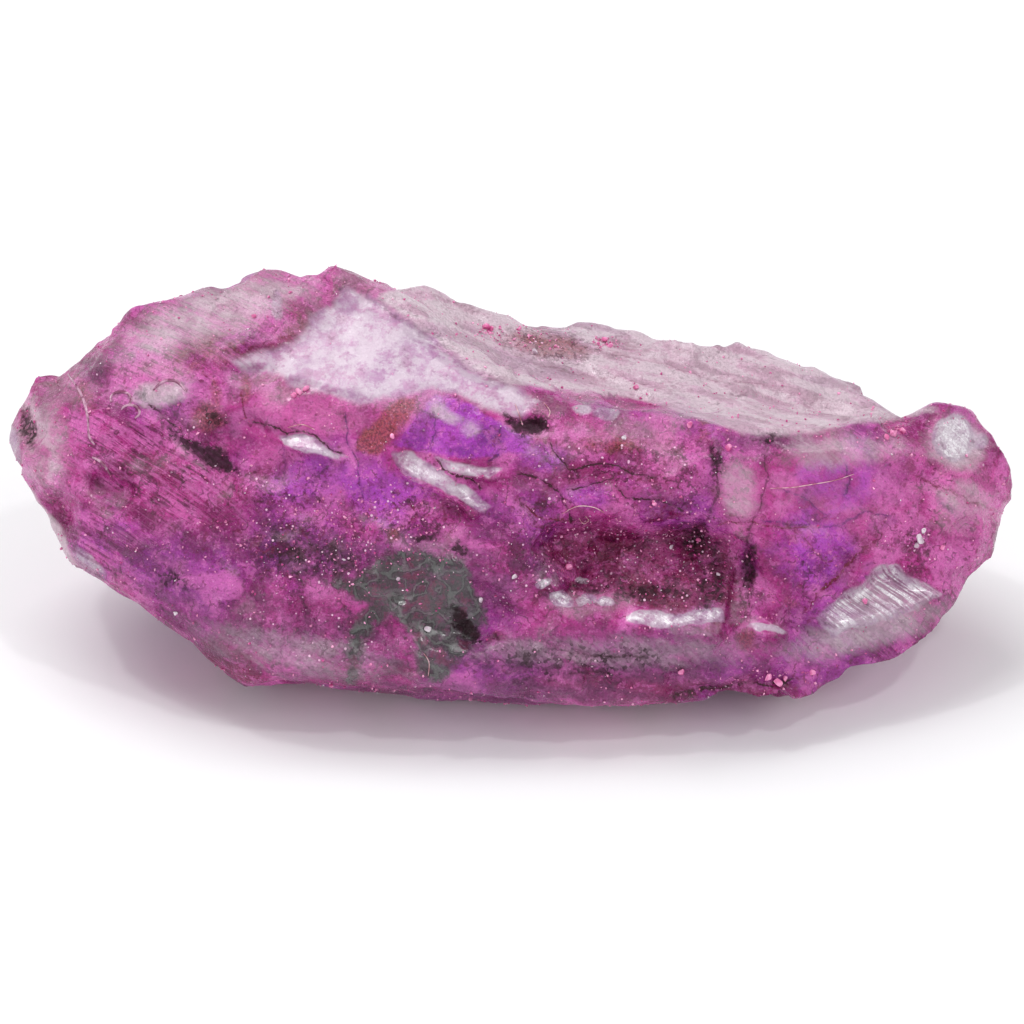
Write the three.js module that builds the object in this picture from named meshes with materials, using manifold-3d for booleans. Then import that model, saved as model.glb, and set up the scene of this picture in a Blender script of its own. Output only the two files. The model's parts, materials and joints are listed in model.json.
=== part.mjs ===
// A rough sapphire: one elongated, broken lump of violet-magenta corundum that lies on a flat rest face.
// Millimetres, +X along the stone, +Y towards its back, +Z up. The origin is under its middle, on the rest face.

import * as THREE from 'three';
import Module from 'manifold-3d';
import { ImprovedNoise } from 'three/addons/math/ImprovedNoise.js';
import { mergeVertices } from 'three/addons/utils/BufferGeometryUtils.js';

// Driving dimensions of the finished stone.
const LENGTH = 48;
const DEPTH = 20;
const HEIGHT = 18;

// How finely the skin is divided, and how far its corners are rounded (0 is a sharp fold, 1 a full curve).
const STEPS_ALONG = 6;
const STEPS_AROUND = 4;
const ROUNDNESS = 0.45;

// Natural unevenness: [wavelength, height] of each layer of lumps.
const LUMPS = [[9, 0.42], [4, 0.26], [2.1, 0.12]];

// Where the cross-sections stand along X, and the points at which the stone ends.
const STATIONS = [-22.7, -20.7, -18.4, -14.8, -10.1, -5.3, -0.5, 4.3, 9.1, 12.6, 16.2, 19.5, 22.2, 23.5];
const LEFT_TIP = [-24, 3.0, 10.5];
const RIGHT_TIP = [24, 1.0, 8.3];

// The ridges that run from tip to tip, in order round the stone. Each gives [y, z] at every station.
const RIDGES = {
  // Rear edge of the top, and the shallow valley in front of it.
  rim: [[5.9, 11.4], [6.8, 11.8], [7.3, 13.6], [8.2, 14.8], [8.8, 16.0], [9.2, 15.8], [9.0, 13.4],
    [8.8, 13.0], [8.6, 12.4], [7.9, 12.3], [6.5, 11.6], [4.2, 11.4], [3.6, 10.6], [2.5, 9.8]],
  dish: [[5.4, 12.3], [6.0, 12.9], [6.4, 15.4], [7.0, 16.5], [7.4, 17.4], [6.6, 15.9], [5.0, 14.0],
    [4.0, 13.4], [3.4, 12.9], [3.2, 12.3], [3.0, 12.0], [3.2, 12.2], [3.0, 11.6], [2.2, 10.4]],
  // Main ridge: it crosses the top from the back on the left to the front on the right.
  crest: [[4.6, 12.9], [5.0, 13.6], [5.2, 16.2], [5.6, 17.4], [6.0, 18.5], [3.6, 17.6], [0.0, 16.2],
    [-1.5, 15.4], [-1.8, 15.0], [-1.4, 14.3], [-0.2, 13.9], [1.8, 13.2], [2.2, 12.4], [1.6, 10.8]],
  // Front of the stone, from its upper edge down to the lip that overhangs the ground.
  brow: [[1.8, 12.4], [1.0, 13.2], [0.4, 14.9], [-0.2, 15.9], [-0.3, 16.5], [-1.2, 16.0], [-2.0, 15.6],
    [-3.1, 14.8], [-3.4, 14.3], [-3.0, 13.8], [-1.8, 13.4], [0.0, 12.9], [0.8, 12.0], [0.8, 10.5]],
  cheek: [[0.2, 11.0], [-1.4, 11.2], [-2.2, 12.0], [-3.2, 12.4], [-3.5, 12.6], [-4.0, 12.5], [-4.4, 12.0],
    [-4.5, 12.2], [-4.4, 11.8], [-4.4, 11.0], [-3.8, 10.6], [-2.0, 10.6], [-0.8, 10.2], [0.2, 9.6]],
  waist: [[-0.4, 10.0], [-2.6, 9.6], [-4.2, 9.3], [-5.6, 9.0], [-6.2, 8.6], [-6.6, 8.4], [-6.9, 8.0],
    [-4.5, 8.0], [-4.3, 7.8], [-5.9, 7.9], [-5.0, 8.6], [-3.4, 8.6], [-1.8, 8.6], [0.0, 8.6]],
  ledge: [[-0.4, 9.2], [-2.8, 8.3], [-4.6, 7.6], [-6.6, 6.6], [-8.0, 5.6], [-8.6, 5.2], [-8.9, 5.0],
    [-7.2, 7.1], [-7.0, 7.0], [-7.3, 6.2], [-6.9, 6.4], [-4.6, 6.8], [-2.4, 7.0], [0.0, 7.6]],
  skirt: [[0.0, 8.4], [-2.5, 7.3], [-4.2, 6.5], [-6.2, 5.4], [-7.5, 4.2], [-8.2, 4.1], [-8.8, 3.75],
    [-8.7, 3.7], [-8.4, 3.6], [-8.0, 3.7], [-6.9, 4.0], [-4.8, 4.4], [-2.2, 5.3], [0.1, 6.7]],
  // Underside.
  keelFront: [[1.2, 7.6], [-0.5, 6.0], [-1.5, 4.2], [-3.0, 2.2], [-3.6, 0.4], [-4.0, 0.2], [-4.0, 0.0],
    [-3.8, 0.0], [-3.4, 0.1], [-2.8, 0.5], [-2.0, 1.7], [-1.4, 3.4], [-0.2, 4.9], [0.8, 6.4]],
  keelBack: [[3.2, 7.5], [3.4, 5.6], [3.4, 3.8], [3.5, 1.8], [3.5, 0.3], [4.2, 0.0], [4.5, 0.0],
    [4.5, 0.0], [4.2, 0.0], [3.8, 0.4], [3.4, 1.6], [2.8, 3.3], [2.2, 5.0], [1.8, 6.5]],
  // Back.
  heel: [[5.0, 8.4], [6.0, 7.0], [7.0, 6.2], [8.0, 4.8], [8.6, 4.0], [9.2, 3.6], [9.4, 3.2],
    [9.2, 3.0], [8.8, 3.0], [8.0, 3.4], [6.8, 4.4], [5.2, 5.4], [3.6, 6.4], [2.4, 7.3]],
  back: [[6.0, 9.8], [7.4, 9.8], [8.8, 10.2], [10.2, 10.2], [11.0, 10.5], [11.4, 10.0], [11.5, 9.0],
    [11.2, 8.5], [10.6, 8.0], [9.6, 8.0], [8.2, 8.2], [6.2, 8.4], [4.4, 8.4], [2.7, 8.4]],
};

// Flat breaks: each takes off what stands proud of a plane through `at` that faces `facing`. The glossy one on
// the top left stops at a second plane, so that the striated skin beyond stands above it as a step.
const BREAKS = {
  rest: { at: [0, 0, 0.45], facing: [0, 0, -1] },
  rearUpper: { at: [2, 10.2, 11.6], facing: [0.05, 0.83, 0.56] },
  rearLower: { at: [-2, 10.4, 5.6], facing: [-0.06, 0.86, -0.5] },
  rearLeft: { at: [-15, 8.9, 9], facing: [-0.42, 0.9, 0.05] },
  rearRight: { at: [15.5, 8.2, 7], facing: [0.45, 0.87, -0.2] },
  underLeft: { at: [-13.5, 1, 1.75], facing: [-0.42, -0.1, -0.9] },
  underRight: { at: [15.5, 0.5, 1.7], facing: [0.5, 0.05, -0.86] },
  frontLeft: { at: [-15, -4.6, 10.1], facing: [-0.22, -0.82, 0.53] },
  frontMiddle: { at: [-5, -6, 9.4], facing: [-0.08, -0.84, 0.54] },
  frontRight: { at: [15.5, -3.5, 10.55], facing: [0.32, -0.85, 0.41] },
  gloss: {
    at: [-5.3, 0, 16.2],
    facing: [0.03, -0.32, 0.945],
    within: { at: [-10.5, 2.9, 17.4], facing: [0.45, -0.7, 0.55] },
  },
};

const FAR = 200;

const wasm = await Module();
wasm.setup();
const noise = new ImprovedNoise();

/** A curve through one ridge, from the left tip to the right tip. */
function ridgeCurve(places) {
  const points = places.map(([y, z], station) => new THREE.Vector3(STATIONS[station], y, z));
  return new THREE.CatmullRomCurve3([
    new THREE.Vector3(...LEFT_TIP), ...points, new THREE.Vector3(...RIGHT_TIP),
  ]);
}

/** Closes the ridges' points at one place along the stone into a ring of evenly divided sides. */
function ringThrough(corners) {
  const count = corners.length;
  const loop = new THREE.CatmullRomCurve3(corners, true);
  const ring = [];
  for (let side = 0; side < count; side += 1) {
    for (let step = 0; step < STEPS_AROUND; step += 1) {
      const along = step / STEPS_AROUND;
      const straight = corners[side].clone().lerp(corners[(side + 1) % count], along);
      ring.push(straight.lerp(loop.getPoint((side + along) / count), ROUNDNESS));
    }
  }
  return ring;
}

/** The unevenness of the skin at one point. */
function lumpAt(point) {
  return LUMPS.reduce((sum, [wavelength, height]) => {
    const { x, y, z } = point.clone().divideScalar(wavelength);
    return sum + height * noise.noise(x, y, z);
  }, 0);
}

/** The lofted skin: rings from tip to tip, closed by a fan at each tip. */
function loftSkin() {
  const curves = Object.values(RIDGES).map(ridgeCurve);
  const intervals = STATIONS.length + 1;
  const rings = [];
  for (let row = 1; row < intervals * STEPS_ALONG; row += 1) {
    const along = row / (intervals * STEPS_ALONG);
    rings.push(ringThrough(curves.map((curve) => curve.getPoint(along))));
  }
  const around = rings[0].length;
  const points = [new THREE.Vector3(...LEFT_TIP), ...rings.flat(), new THREE.Vector3(...RIGHT_TIP)];
  const last = points.length - 1;
  const index = [];
  for (let side = 0; side < around; side += 1) {
    const next = (side + 1) % around;
    index.push(0, 1 + next, 1 + side);
    for (let row = 0; row < rings.length - 1; row += 1) {
      const [a, b] = [1 + row * around + side, 1 + row * around + next];
      index.push(a, b, a + around, b, b + around, a + around);
    }
    const lastRow = 1 + (rings.length - 1) * around;
    index.push(last, lastRow + side, lastRow + next);
  }
  const geometry = new THREE.BufferGeometry().setFromPoints(points);
  geometry.setIndex(index);
  return geometry;
}

/** Moves every point of the skin in or out along its normal by the natural unevenness. */
function roughen(geometry) {
  geometry.computeVertexNormals();
  const { position, normal } = geometry.attributes;
  const point = new THREE.Vector3();
  const outward = new THREE.Vector3();
  for (let i = 0; i < position.count; i += 1) {
    point.fromBufferAttribute(position, i);
    outward.fromBufferAttribute(normal, i);
    point.addScaledVector(outward, lumpAt(point));
    position.setXYZ(i, point.x, point.y, point.z);
  }
  return geometry;
}

/** A manifold solid of a closed geometry. */
function toSolid(geometry) {
  geometry.deleteAttribute('normal');
  geometry.deleteAttribute('uv');
  const merged = mergeVertices(geometry);
  return new wasm.Manifold(new wasm.Mesh({
    numProp: 3,
    vertProperties: new Float32Array(merged.attributes.position.array),
    triVerts: new Uint32Array(merged.index.array),
  }));
}

/** The geometry of a manifold solid. */
function toGeometry(solid) {
  const mesh = solid.getMesh();
  const geometry = new THREE.BufferGeometry();
  geometry.setAttribute('position', new THREE.BufferAttribute(mesh.vertProperties, 3));
  geometry.setIndex(new THREE.BufferAttribute(mesh.triVerts, 1));
  return geometry;
}

/** A block that fills everything in front of the plane through `at` that faces `facing`. */
function blockInFront({ at, facing }) {
  const block = new THREE.BoxGeometry(FAR, FAR, FAR).translate(0, 0, FAR / 2);
  const up = new THREE.Vector3(0, 0, 1);
  const turn = new THREE.Quaternion().setFromUnitVectors(up, new THREE.Vector3(...facing).normalize());
  block.applyQuaternion(turn);
  return toSolid(block.translate(...at));
}

/** The stone's solid: the rough skin with its flat breaks taken off. */
function breakStone() {
  let solid = toSolid(roughen(loftSkin()));
  for (const { within, ...plane } of Object.values(BREAKS)) {
    const waste = blockInFront(plane);
    solid = solid.subtract(within ? waste.intersect(blockInFront(within)) : waste);
  }
  return solid;
}

/** Brings a geometry to the driving sizes, standing on the origin plane under its middle. */
function fitToSize(geometry) {
  geometry.computeBoundingBox();
  const size = geometry.boundingBox.getSize(new THREE.Vector3());
  const middle = geometry.boundingBox.getCenter(new THREE.Vector3());
  geometry.translate(-middle.x, -middle.y, -geometry.boundingBox.min.z);
  return geometry.scale(LENGTH / size.x, DEPTH / size.y, HEIGHT / size.z);
}

const corundum = new THREE.MeshStandardMaterial({ color: 0x9c4a86, roughness: 0.35, metalness: 0 });

const stone = new THREE.Mesh(fitToSize(toGeometry(breakStone())), corundum);
stone.name = 'stone';

const roughSapphire = new THREE.Group();
roughSapphire.add(stone);

export default roughSapphire;
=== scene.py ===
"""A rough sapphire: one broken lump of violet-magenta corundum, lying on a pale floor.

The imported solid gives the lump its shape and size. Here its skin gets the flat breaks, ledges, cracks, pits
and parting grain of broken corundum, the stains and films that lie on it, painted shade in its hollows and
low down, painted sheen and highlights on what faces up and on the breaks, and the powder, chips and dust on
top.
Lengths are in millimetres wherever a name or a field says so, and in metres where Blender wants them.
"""

from __future__ import annotations

import itertools
import json
import logging
import math
from collections.abc import Callable
from dataclasses import dataclass, field
from enum import Enum
from typing import Any

import bpy
import numpy as np
from mathutils import Euler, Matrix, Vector

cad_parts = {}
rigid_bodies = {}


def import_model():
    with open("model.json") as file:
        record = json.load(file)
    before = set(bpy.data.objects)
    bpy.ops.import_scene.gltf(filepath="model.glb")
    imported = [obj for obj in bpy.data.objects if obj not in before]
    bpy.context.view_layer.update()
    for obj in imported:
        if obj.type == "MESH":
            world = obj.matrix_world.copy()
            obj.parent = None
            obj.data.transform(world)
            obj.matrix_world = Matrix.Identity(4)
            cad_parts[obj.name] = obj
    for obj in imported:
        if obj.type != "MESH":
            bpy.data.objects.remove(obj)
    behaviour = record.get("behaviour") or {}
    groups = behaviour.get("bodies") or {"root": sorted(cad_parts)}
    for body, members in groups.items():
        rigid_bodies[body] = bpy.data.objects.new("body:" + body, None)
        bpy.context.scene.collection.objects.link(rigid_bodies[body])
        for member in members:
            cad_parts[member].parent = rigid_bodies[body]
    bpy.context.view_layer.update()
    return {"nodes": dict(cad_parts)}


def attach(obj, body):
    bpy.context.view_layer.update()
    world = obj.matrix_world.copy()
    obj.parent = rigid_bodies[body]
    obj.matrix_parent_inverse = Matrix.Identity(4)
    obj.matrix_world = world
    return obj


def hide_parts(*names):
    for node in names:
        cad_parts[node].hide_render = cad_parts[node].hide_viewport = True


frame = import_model()

log = logging.getLogger("rough_sapphire")

MM = 0.001
NODE = "stone"
BODY = "root"

# The parting planes of the crystal: every streak and fine step on the skin is a trace of this one family.
PARTING_NORMAL = np.array([0.565, 0.672, 0.478])
# The stone's middle, and about how much skin it has.
MIDDLE = np.array([0, 0, 9])
SKIN_AREA_MM2 = 2300
# How far a drawn rim or line strays, and how steeply the combed streaks fall to the right on the front.
WAVER_MM = 0.16
COMB_SLOPE = 0.32

Point2 = tuple[float, float]
Point3 = tuple[float, float, float]
Colour = tuple[float, float, float]


# ---- Numbers over space ----


def ease(value: np.ndarray, low: float, high: float) -> np.ndarray:
    """A smooth ramp from 0 at `low` to 1 at `high`.

    Args:
        value: The numbers to ramp.
        low: Where the ramp starts. It may lie above `high`, for a falling ramp.
        high: Where the ramp ends.

    Returns:
        Numbers from 0 to 1.
    """
    part = np.clip((value - low) / (high - low), 0, 1)
    return part * part * (3 - 2 * part)


class Grain:
    """Seeded gradient noise, with features one unit across."""

    TABLE = 4096
    HASH = (73856093, 19349663, 83492791)
    GAIN = 1.4
    OCTAVE_SHIFT = 17.3

    def __init__(self, seed: int) -> None:
        """Draws the table of gradients.

        Args:
            seed: Chooses the pattern.
        """
        self.slopes = np.random.default_rng(seed).uniform(-1, 1, (self.TABLE, 3))

    def at(self, places: np.ndarray) -> np.ndarray:
        """One octave of noise.

        Args:
            places: Points, one a row.

        Returns:
            A number from about -1 to 1 for each point.
        """
        cell = np.floor(places).astype(np.int64)
        part = places - cell
        fade = part**3 * (part * (part * 6 - 15) + 10)
        total = np.zeros(len(places))
        for corner in itertools.product((0, 1), repeat=3):
            knot = (cell + corner) * self.HASH
            slope = self.slopes[(knot[:, 0] ^ knot[:, 1] ^ knot[:, 2]) % self.TABLE]
            share = np.prod(np.where(corner, fade, 1 - fade), axis=1)
            total += share * np.einsum("ij,ij->i", slope, part - corner)
        return total * self.GAIN

    def layered(self, places: np.ndarray, octaves: int = 3) -> np.ndarray:
        """Several octaves, each twice as fine and half as strong as the one before.

        Args:
            places: Points, one a row.
            octaves: How many layers there are.

        Returns:
            A number from about -1 to 1 for each point.
        """
        layers = [self.at(places * 2**k + self.OCTAVE_SHIFT * k) / 2**k for k in range(octaves)]
        return np.sum(layers, axis=0)


def along_parting(places: np.ndarray, across: float, within: float) -> np.ndarray:
    """Squeezes space so that noise read there runs in thin sheets along the parting planes.

    Args:
        places: Points in millimetres, one a row.
        across: The sheets' thickness in millimetres.
        within: How far a feature runs inside a sheet, in millimetres.

    Returns:
        Points to read noise at.
    """
    depth = places @ PARTING_NORMAL
    flat = places - np.outer(depth, PARTING_NORMAL)
    return flat / within + np.outer(depth / across, PARTING_NORMAL)


# ---- Marks drawn on a side of the stone ----


@dataclass(frozen=True)
class Side:
    """A drawing board that faces one side of the stone. Marks are placed on it in millimetres.

    The board's first direction runs level, the second up the board. The stone is laid on it as it shows from
    `distance` millimetres away, `azimuth` degrees round from the front and `lift` degrees up.
    """

    azimuth: float
    lift: float
    distance: float = 272

    def axes(self) -> tuple[np.ndarray, np.ndarray, np.ndarray]:
        """The three directions that the board is set by.

        Returns:
            The board's level and rising directions, and the one from the stone to the board.
        """
        turn, tilt = math.radians(self.azimuth), math.radians(self.lift)
        across = np.array([math.cos(turn), math.sin(turn), 0])
        level = np.array([math.sin(turn), -math.cos(turn), 0])
        towards = level * math.cos(tilt) + np.array([0, 0, math.sin(tilt)])
        return across, np.cross(towards, across), towards

    def lay(self, points: np.ndarray) -> np.ndarray:
        """Where points of the stone fall on the board, in millimetres.

        Args:
            points: The points in millimetres, one a row.

        Returns:
            Places on the board, one a row.
        """
        across, up, towards = self.axes()
        off = points - MIDDLE
        scale = self.distance / (self.distance - off @ towards)
        return np.stack((off @ across * scale, off @ up * scale + MIDDLE @ up), axis=1)

    def ray(self, at: Point2) -> tuple[np.ndarray, np.ndarray]:
        """The eye that the board is drawn from, and the direction from it to a place on the board.

        Args:
            at: The place, in millimetres.

        Returns:
            The eye in millimetres, and the direction.
        """
        across, up, towards = self.axes()
        eye = MIDDLE + towards * self.distance
        aim = MIDDLE + across * at[0] + up * (at[1] - MIDDLE @ up) - eye
        return eye, aim / np.linalg.norm(aim)

    def shown(self, normals: np.ndarray) -> np.ndarray:
        """How fully each place shows on this side, from 0 where it faces away to 1."""
        return ease(normals @ self.axes()[2], 0.02, 0.22)

    def level(self) -> np.ndarray:
        """The level direction out of the stone on this side."""
        towards = self.axes()[2] * (1, 1, 0)
        return towards / np.linalg.norm(towards)


FRONT = Side(0, 38)
BACK = Side(180, 12)
UNDERSIDE = Side(0, -70)


@dataclass(frozen=True)
class Blot:
    """A soft-edged oval on a board: `at` its middle, `size` its half lengths in mm, `turn` in degrees."""

    at: Point2
    size: Point2
    turn: float = 0
    strength: float = 1

    def cover(self, flat: np.ndarray) -> np.ndarray:
        """How strongly the oval covers each place: `strength` in its middle, half that on its rim.

        Args:
            flat: The places, one a row.

        Returns:
            The cover of each place.
        """
        angle = math.radians(self.turn)
        along = np.array([math.cos(angle), math.sin(angle)])
        across = np.array([-along[1], along[0]])
        off = flat - self.at
        radius = np.hypot(off @ along / self.size[0], off @ across / self.size[1])
        return self.strength * ease(radius, 1.6, 0.4)


@dataclass(frozen=True)
class Patch:
    """A shape on a drawing board, with its corners in millimetres and an edge `rim` millimetres soft."""

    points: tuple[Point2, ...]
    rim: float = 0.15
    strength: float = 1

    def cover(self, flat: np.ndarray) -> np.ndarray:
        """How strongly the shape covers each place: `strength` well inside it, half that on its edge.

        Args:
            flat: The places, one a row.

        Returns:
            The cover of each place.
        """
        knots = np.array(self.points)
        near = ((flat > knots.min(axis=0) - self.rim) & (flat < knots.max(axis=0) + self.rim)).all(axis=1)
        result = np.zeros(len(flat))
        result[near] = self.strength * ease(self.depth(knots, flat[near]), -self.rim, self.rim)
        return result

    def depth(self, knots: np.ndarray, flat: np.ndarray) -> np.ndarray:
        """How far inside the shape each place lies, in millimetres, and below zero outside it.

        Args:
            knots: The shape's corners.
            flat: The places, one a row.

        Returns:
            The depth of each place.
        """
        apart = np.full(len(flat), np.inf)
        inside = np.zeros(len(flat), dtype=bool)
        for knot, step in zip(knots, np.roll(knots, -1, axis=0) - knots):
            off = flat - knot
            part = np.clip(off @ step / (step @ step), 0, 1)
            apart = np.minimum(apart, np.linalg.norm(off - part[:, None] * step, axis=1))
            crossed = (off[:, 1] < 0) != (off[:, 1] < step[1])
            inside ^= crossed & (off[:, 0] * abs(step[1]) < step[0] * off[:, 1] * np.sign(step[1]))
        return np.where(inside, apart, -apart)


def measure(line: tuple[Point2, ...], flat: np.ndarray) -> tuple[np.ndarray, np.ndarray, np.ndarray]:
    """Measures places on a board against a line drawn through a few points.

    Args:
        line: The points, in millimetres.
        flat: The places, one a row.

    Returns:
        The distance to the line, the same with a minus on the line's right-hand side, and the part of the
        line's length at the nearest point, from 0 to 1.
    """
    knots = np.array(line)
    steps = np.diff(knots, axis=0)
    lengths = np.linalg.norm(steps, axis=1)
    starts = np.concatenate(([0], np.cumsum(lengths)))
    best = np.full(len(flat), np.inf)
    signed, place = np.zeros(len(flat)), np.zeros(len(flat))
    for knot, step, length, start in zip(knots, steps, lengths, starts):
        off = flat - knot
        part = np.clip(off @ step / length**2, 0, 1)
        apart = np.linalg.norm(off - part[:, None] * step, axis=1)
        closer = apart < best
        best = np.where(closer, apart, best)
        left = np.sign(step[0] * off[:, 1] - step[1] * off[:, 0])
        signed = np.where(closer, apart * left, signed)
        place = np.where(closer, (start + part * length) / starts[-1], place)
    return best, signed, place


class Skin:
    """The stone's surface as points in millimetres that can be pushed about like clay."""

    def __init__(self, mesh: bpy.types.Mesh, wobble: Grain) -> None:
        """Reads a mesh.

        Args:
            mesh: The mesh to work on. It is written back by `save`.
            wobble: Noise that makes every drawn line and rim waver.
        """
        self.mesh = mesh
        count = len(mesh.vertices)
        flat = np.empty(count * 3)
        mesh.vertices.foreach_get("co", flat)
        self.points = flat.reshape(count, 3) / MM
        self.normals = self.read_normals()
        self.waver = np.stack([wobble.layered(self.points * 0.9 + shift, 3) for shift in (0, 31.7)], axis=1)
        self.tints: dict[str, np.ndarray] = {}

    def read_normals(self) -> np.ndarray:
        """The mesh's vertex normals.

        Returns:
            The normals, one a row.
        """
        flat = np.empty(len(self.mesh.vertices) * 3, dtype=np.float32)
        self.mesh.vertex_normals.foreach_get("vector", flat)
        return flat.reshape(-1, 3).astype(float)

    def save(self) -> None:
        """Writes the points back and takes up the new normals."""
        self.mesh.vertices.foreach_set("co", (self.points * MM).ravel())
        self.mesh.update()
        self.normals = self.read_normals()

    def drawn(self, side: Side) -> np.ndarray:
        """Where the skin falls on a board, with the waver that drawn marks get, in millimetres."""
        return side.lay(self.points) + WAVER_MM * self.waver

    def push(self, amount: np.ndarray) -> None:
        """Moves the skin out along its normals by `amount` millimetres a point."""
        self.points += self.normals * amount[:, None]

    def shift(self, direction: np.ndarray, amount: np.ndarray) -> None:
        """Moves the skin along one direction by `amount` millimetres a point."""
        self.points += np.outer(amount, direction)

    def paint(self, tint: str, cover: np.ndarray) -> None:
        """Adds to a named tint, which the finish reads as an attribute."""
        self.tints[tint] = np.maximum(self.tints.get(tint, np.zeros(len(self.points))), cover)

    def draw_line(self, tint: str, signed: np.ndarray, near: np.ndarray) -> None:
        """Marks a thin line, finer than the mesh, for the finish.

        Args:
            tint: Its tint.
            signed: The distance to the line in line widths, with a minus on one side of it.
            near: How strongly the line shows, from 0 far from it to 1.
        """
        nearest = near > self.tints.get(f"{tint}_near", np.zeros(len(near)))
        self.tints[f"{tint}_line"] = np.where(nearest, signed, self.tints.get(f"{tint}_line", signed))
        self.paint(f"{tint}_near", near)

    def store_tints(self) -> None:
        """Writes every tint as an attribute of the mesh."""
        for name, values in self.tints.items():
            layer = self.mesh.attributes.new(name, "FLOAT", "POINT")
            layer.data.foreach_set("value", values.astype(np.float32))


class Tint(Enum):
    """What the finish can lay over the plain stone."""

    # Dark stains, and painted shade in notches, hollows and the pocket.
    NIGHT = "dark_stain_and_shade"
    CRIMSON = "crimson"
    RUST = "rust"
    INDIGO = "indigo"
    VIOLET = "violet"
    ROSE = "rose"
    # Pale colour of the breaks and ledges, with painted highlights and painted reflections; drawn above 1 it
    # turns white.
    PALE = "pale"
    # Pale dust, and painted sheen on faces that catch the light; on the lobe's thin rim a painted glow.
    HAZE = "dust_and_sheen"
    FILM = "film"
    GLASSY = "glassy"
    GRAINED = "grained"
    COMBED = "combed"
    # Painted shade: darker low on the stone, under edges and on the underside.
    MURK = "painted_shade"
    CRUMBLY = "crumbly"
    CRACK = "crack"


@dataclass(frozen=True)
class Stain:
    """A tint laid on in one or more shapes."""

    tint: Tint
    shapes: tuple[Blot | Patch, ...]

    def lay(self, skin: Skin, side: Side, flat: np.ndarray) -> None:
        """Paints the shapes on a side of the skin, fading out where it turns away.

        Args:
            skin: The skin.
            side: The side that it is drawn on.
            flat: Where the skin falls on the board.
        """
        shown = ease(skin.normals @ side.axes()[2], -0.25, 0.4)
        for shape in self.shapes:
            skin.paint(self.tint.value, shape.cover(flat) * shown)


@dataclass(frozen=True)
class Ledge:
    """A step along a line drawn from left to right: the skin under the line stands out by `rise`."""

    line: tuple[Point2, ...]
    rise: float
    reach: float
    lip: float = 0.1

    def cut(self, skin: Skin, side: Side, flat: np.ndarray) -> None:
        """Shifts the skin under the line outwards, fading over `reach` millimetres.

        Args:
            skin: The skin.
            side: The side that it is drawn on.
            flat: Where the skin falls on the board.
        """
        apart, signed, place = measure(self.line, flat)
        under = ease(-signed, -self.lip, self.lip) * ease(apart, self.reach, self.reach * 0.25)
        ends = ease(place, 0, 0.12) * ease(place, 1, 0.88)
        skin.shift(side.level(), self.rise * under * ends * side.shown(skin.normals))


@dataclass(frozen=True)
class Crack:
    """A crack along a drawn line, `width` and `depth` in millimetres, or a vein where it has no depth."""

    line: tuple[Point2, ...]
    width: float = 0.16
    depth: float = 0.14
    tint: Tint = Tint.CRACK
    strength: float = 1

    def cut(self, skin: Skin, side: Side, flat: np.ndarray) -> None:
        """Sinks the skin along the line.

        Args:
            skin: The skin.
            side: The side that it is drawn on.
            flat: Where the skin falls on the board.
        """
        apart, _, place = measure(self.line, flat)
        ends = ease(place, 0, 0.08) * ease(place, 1, 0.92)
        skin.push(-self.depth * np.exp(-((apart / self.width) ** 2)) * ends * side.shown(skin.normals))

    def mark(self, skin: Skin, side: Side, flat: np.ndarray) -> None:
        """Marks the line for the finish.

        Args:
            skin: The skin.
            side: The side that it is drawn on.
            flat: Where the skin falls on the board.
        """
        apart, signed, place = measure(self.line, flat)
        ends = ease(place, 0, 0.08) * ease(place, 1, 0.92)
        near = self.strength * ease(apart, 0.7, 0.3) * ends * side.shown(skin.normals)
        skin.draw_line(self.tint.value, signed / self.width, near)


@dataclass(frozen=True)
class Dent:
    """A hollow, or a lump where `depth` is below zero, over a shape."""

    shape: Blot | Patch
    depth: float

    def cut(self, skin: Skin, side: Side, flat: np.ndarray) -> None:
        """Sinks the skin under the shape, straight away from the board."""
        skin.shift(side.axes()[2], -self.depth * self.shape.cover(flat) * side.shown(skin.normals))


@dataclass(frozen=True)
class Pull:
    """A part of the outline that is drawn out or pressed in, `by` millimetres along the board."""

    shape: Blot | Patch
    by: Point2

    def cut(self, skin: Skin, side: Side, flat: np.ndarray) -> None:
        """Shifts the skin along the board, on both of its faces alike."""
        across, up, _ = side.axes()
        skin.shift(across * self.by[0] + up * self.by[1], self.shape.cover(flat))


@dataclass(frozen=True)
class Flat:
    """A flat break: the skin inside a shape is brought to a plane that faces `facing`."""

    shape: Blot | Patch
    facing: Point3
    sink: float = 0.0

    def cut(self, skin: Skin, side: Side, flat: np.ndarray) -> None:
        """Brings the skin to the plane through the shape's middle, `sink` millimetres down.

        Args:
            skin: The skin.
            side: The side that it is drawn on.
            flat: Where the skin falls on the board.
        """
        cover = self.shape.cover(flat) * (side.shown(skin.normals) > 0)
        facing = np.array(self.facing) / np.linalg.norm(self.facing)
        heights = skin.points @ facing
        level = np.average(heights, weights=cover + 1e-12) - self.sink
        skin.shift(facing, (level - heights) * ease(cover, 0.25, 0.75))


Mark = Ledge | Crack | Dent | Pull | Flat


# ---- The marks of this stone ----

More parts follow.
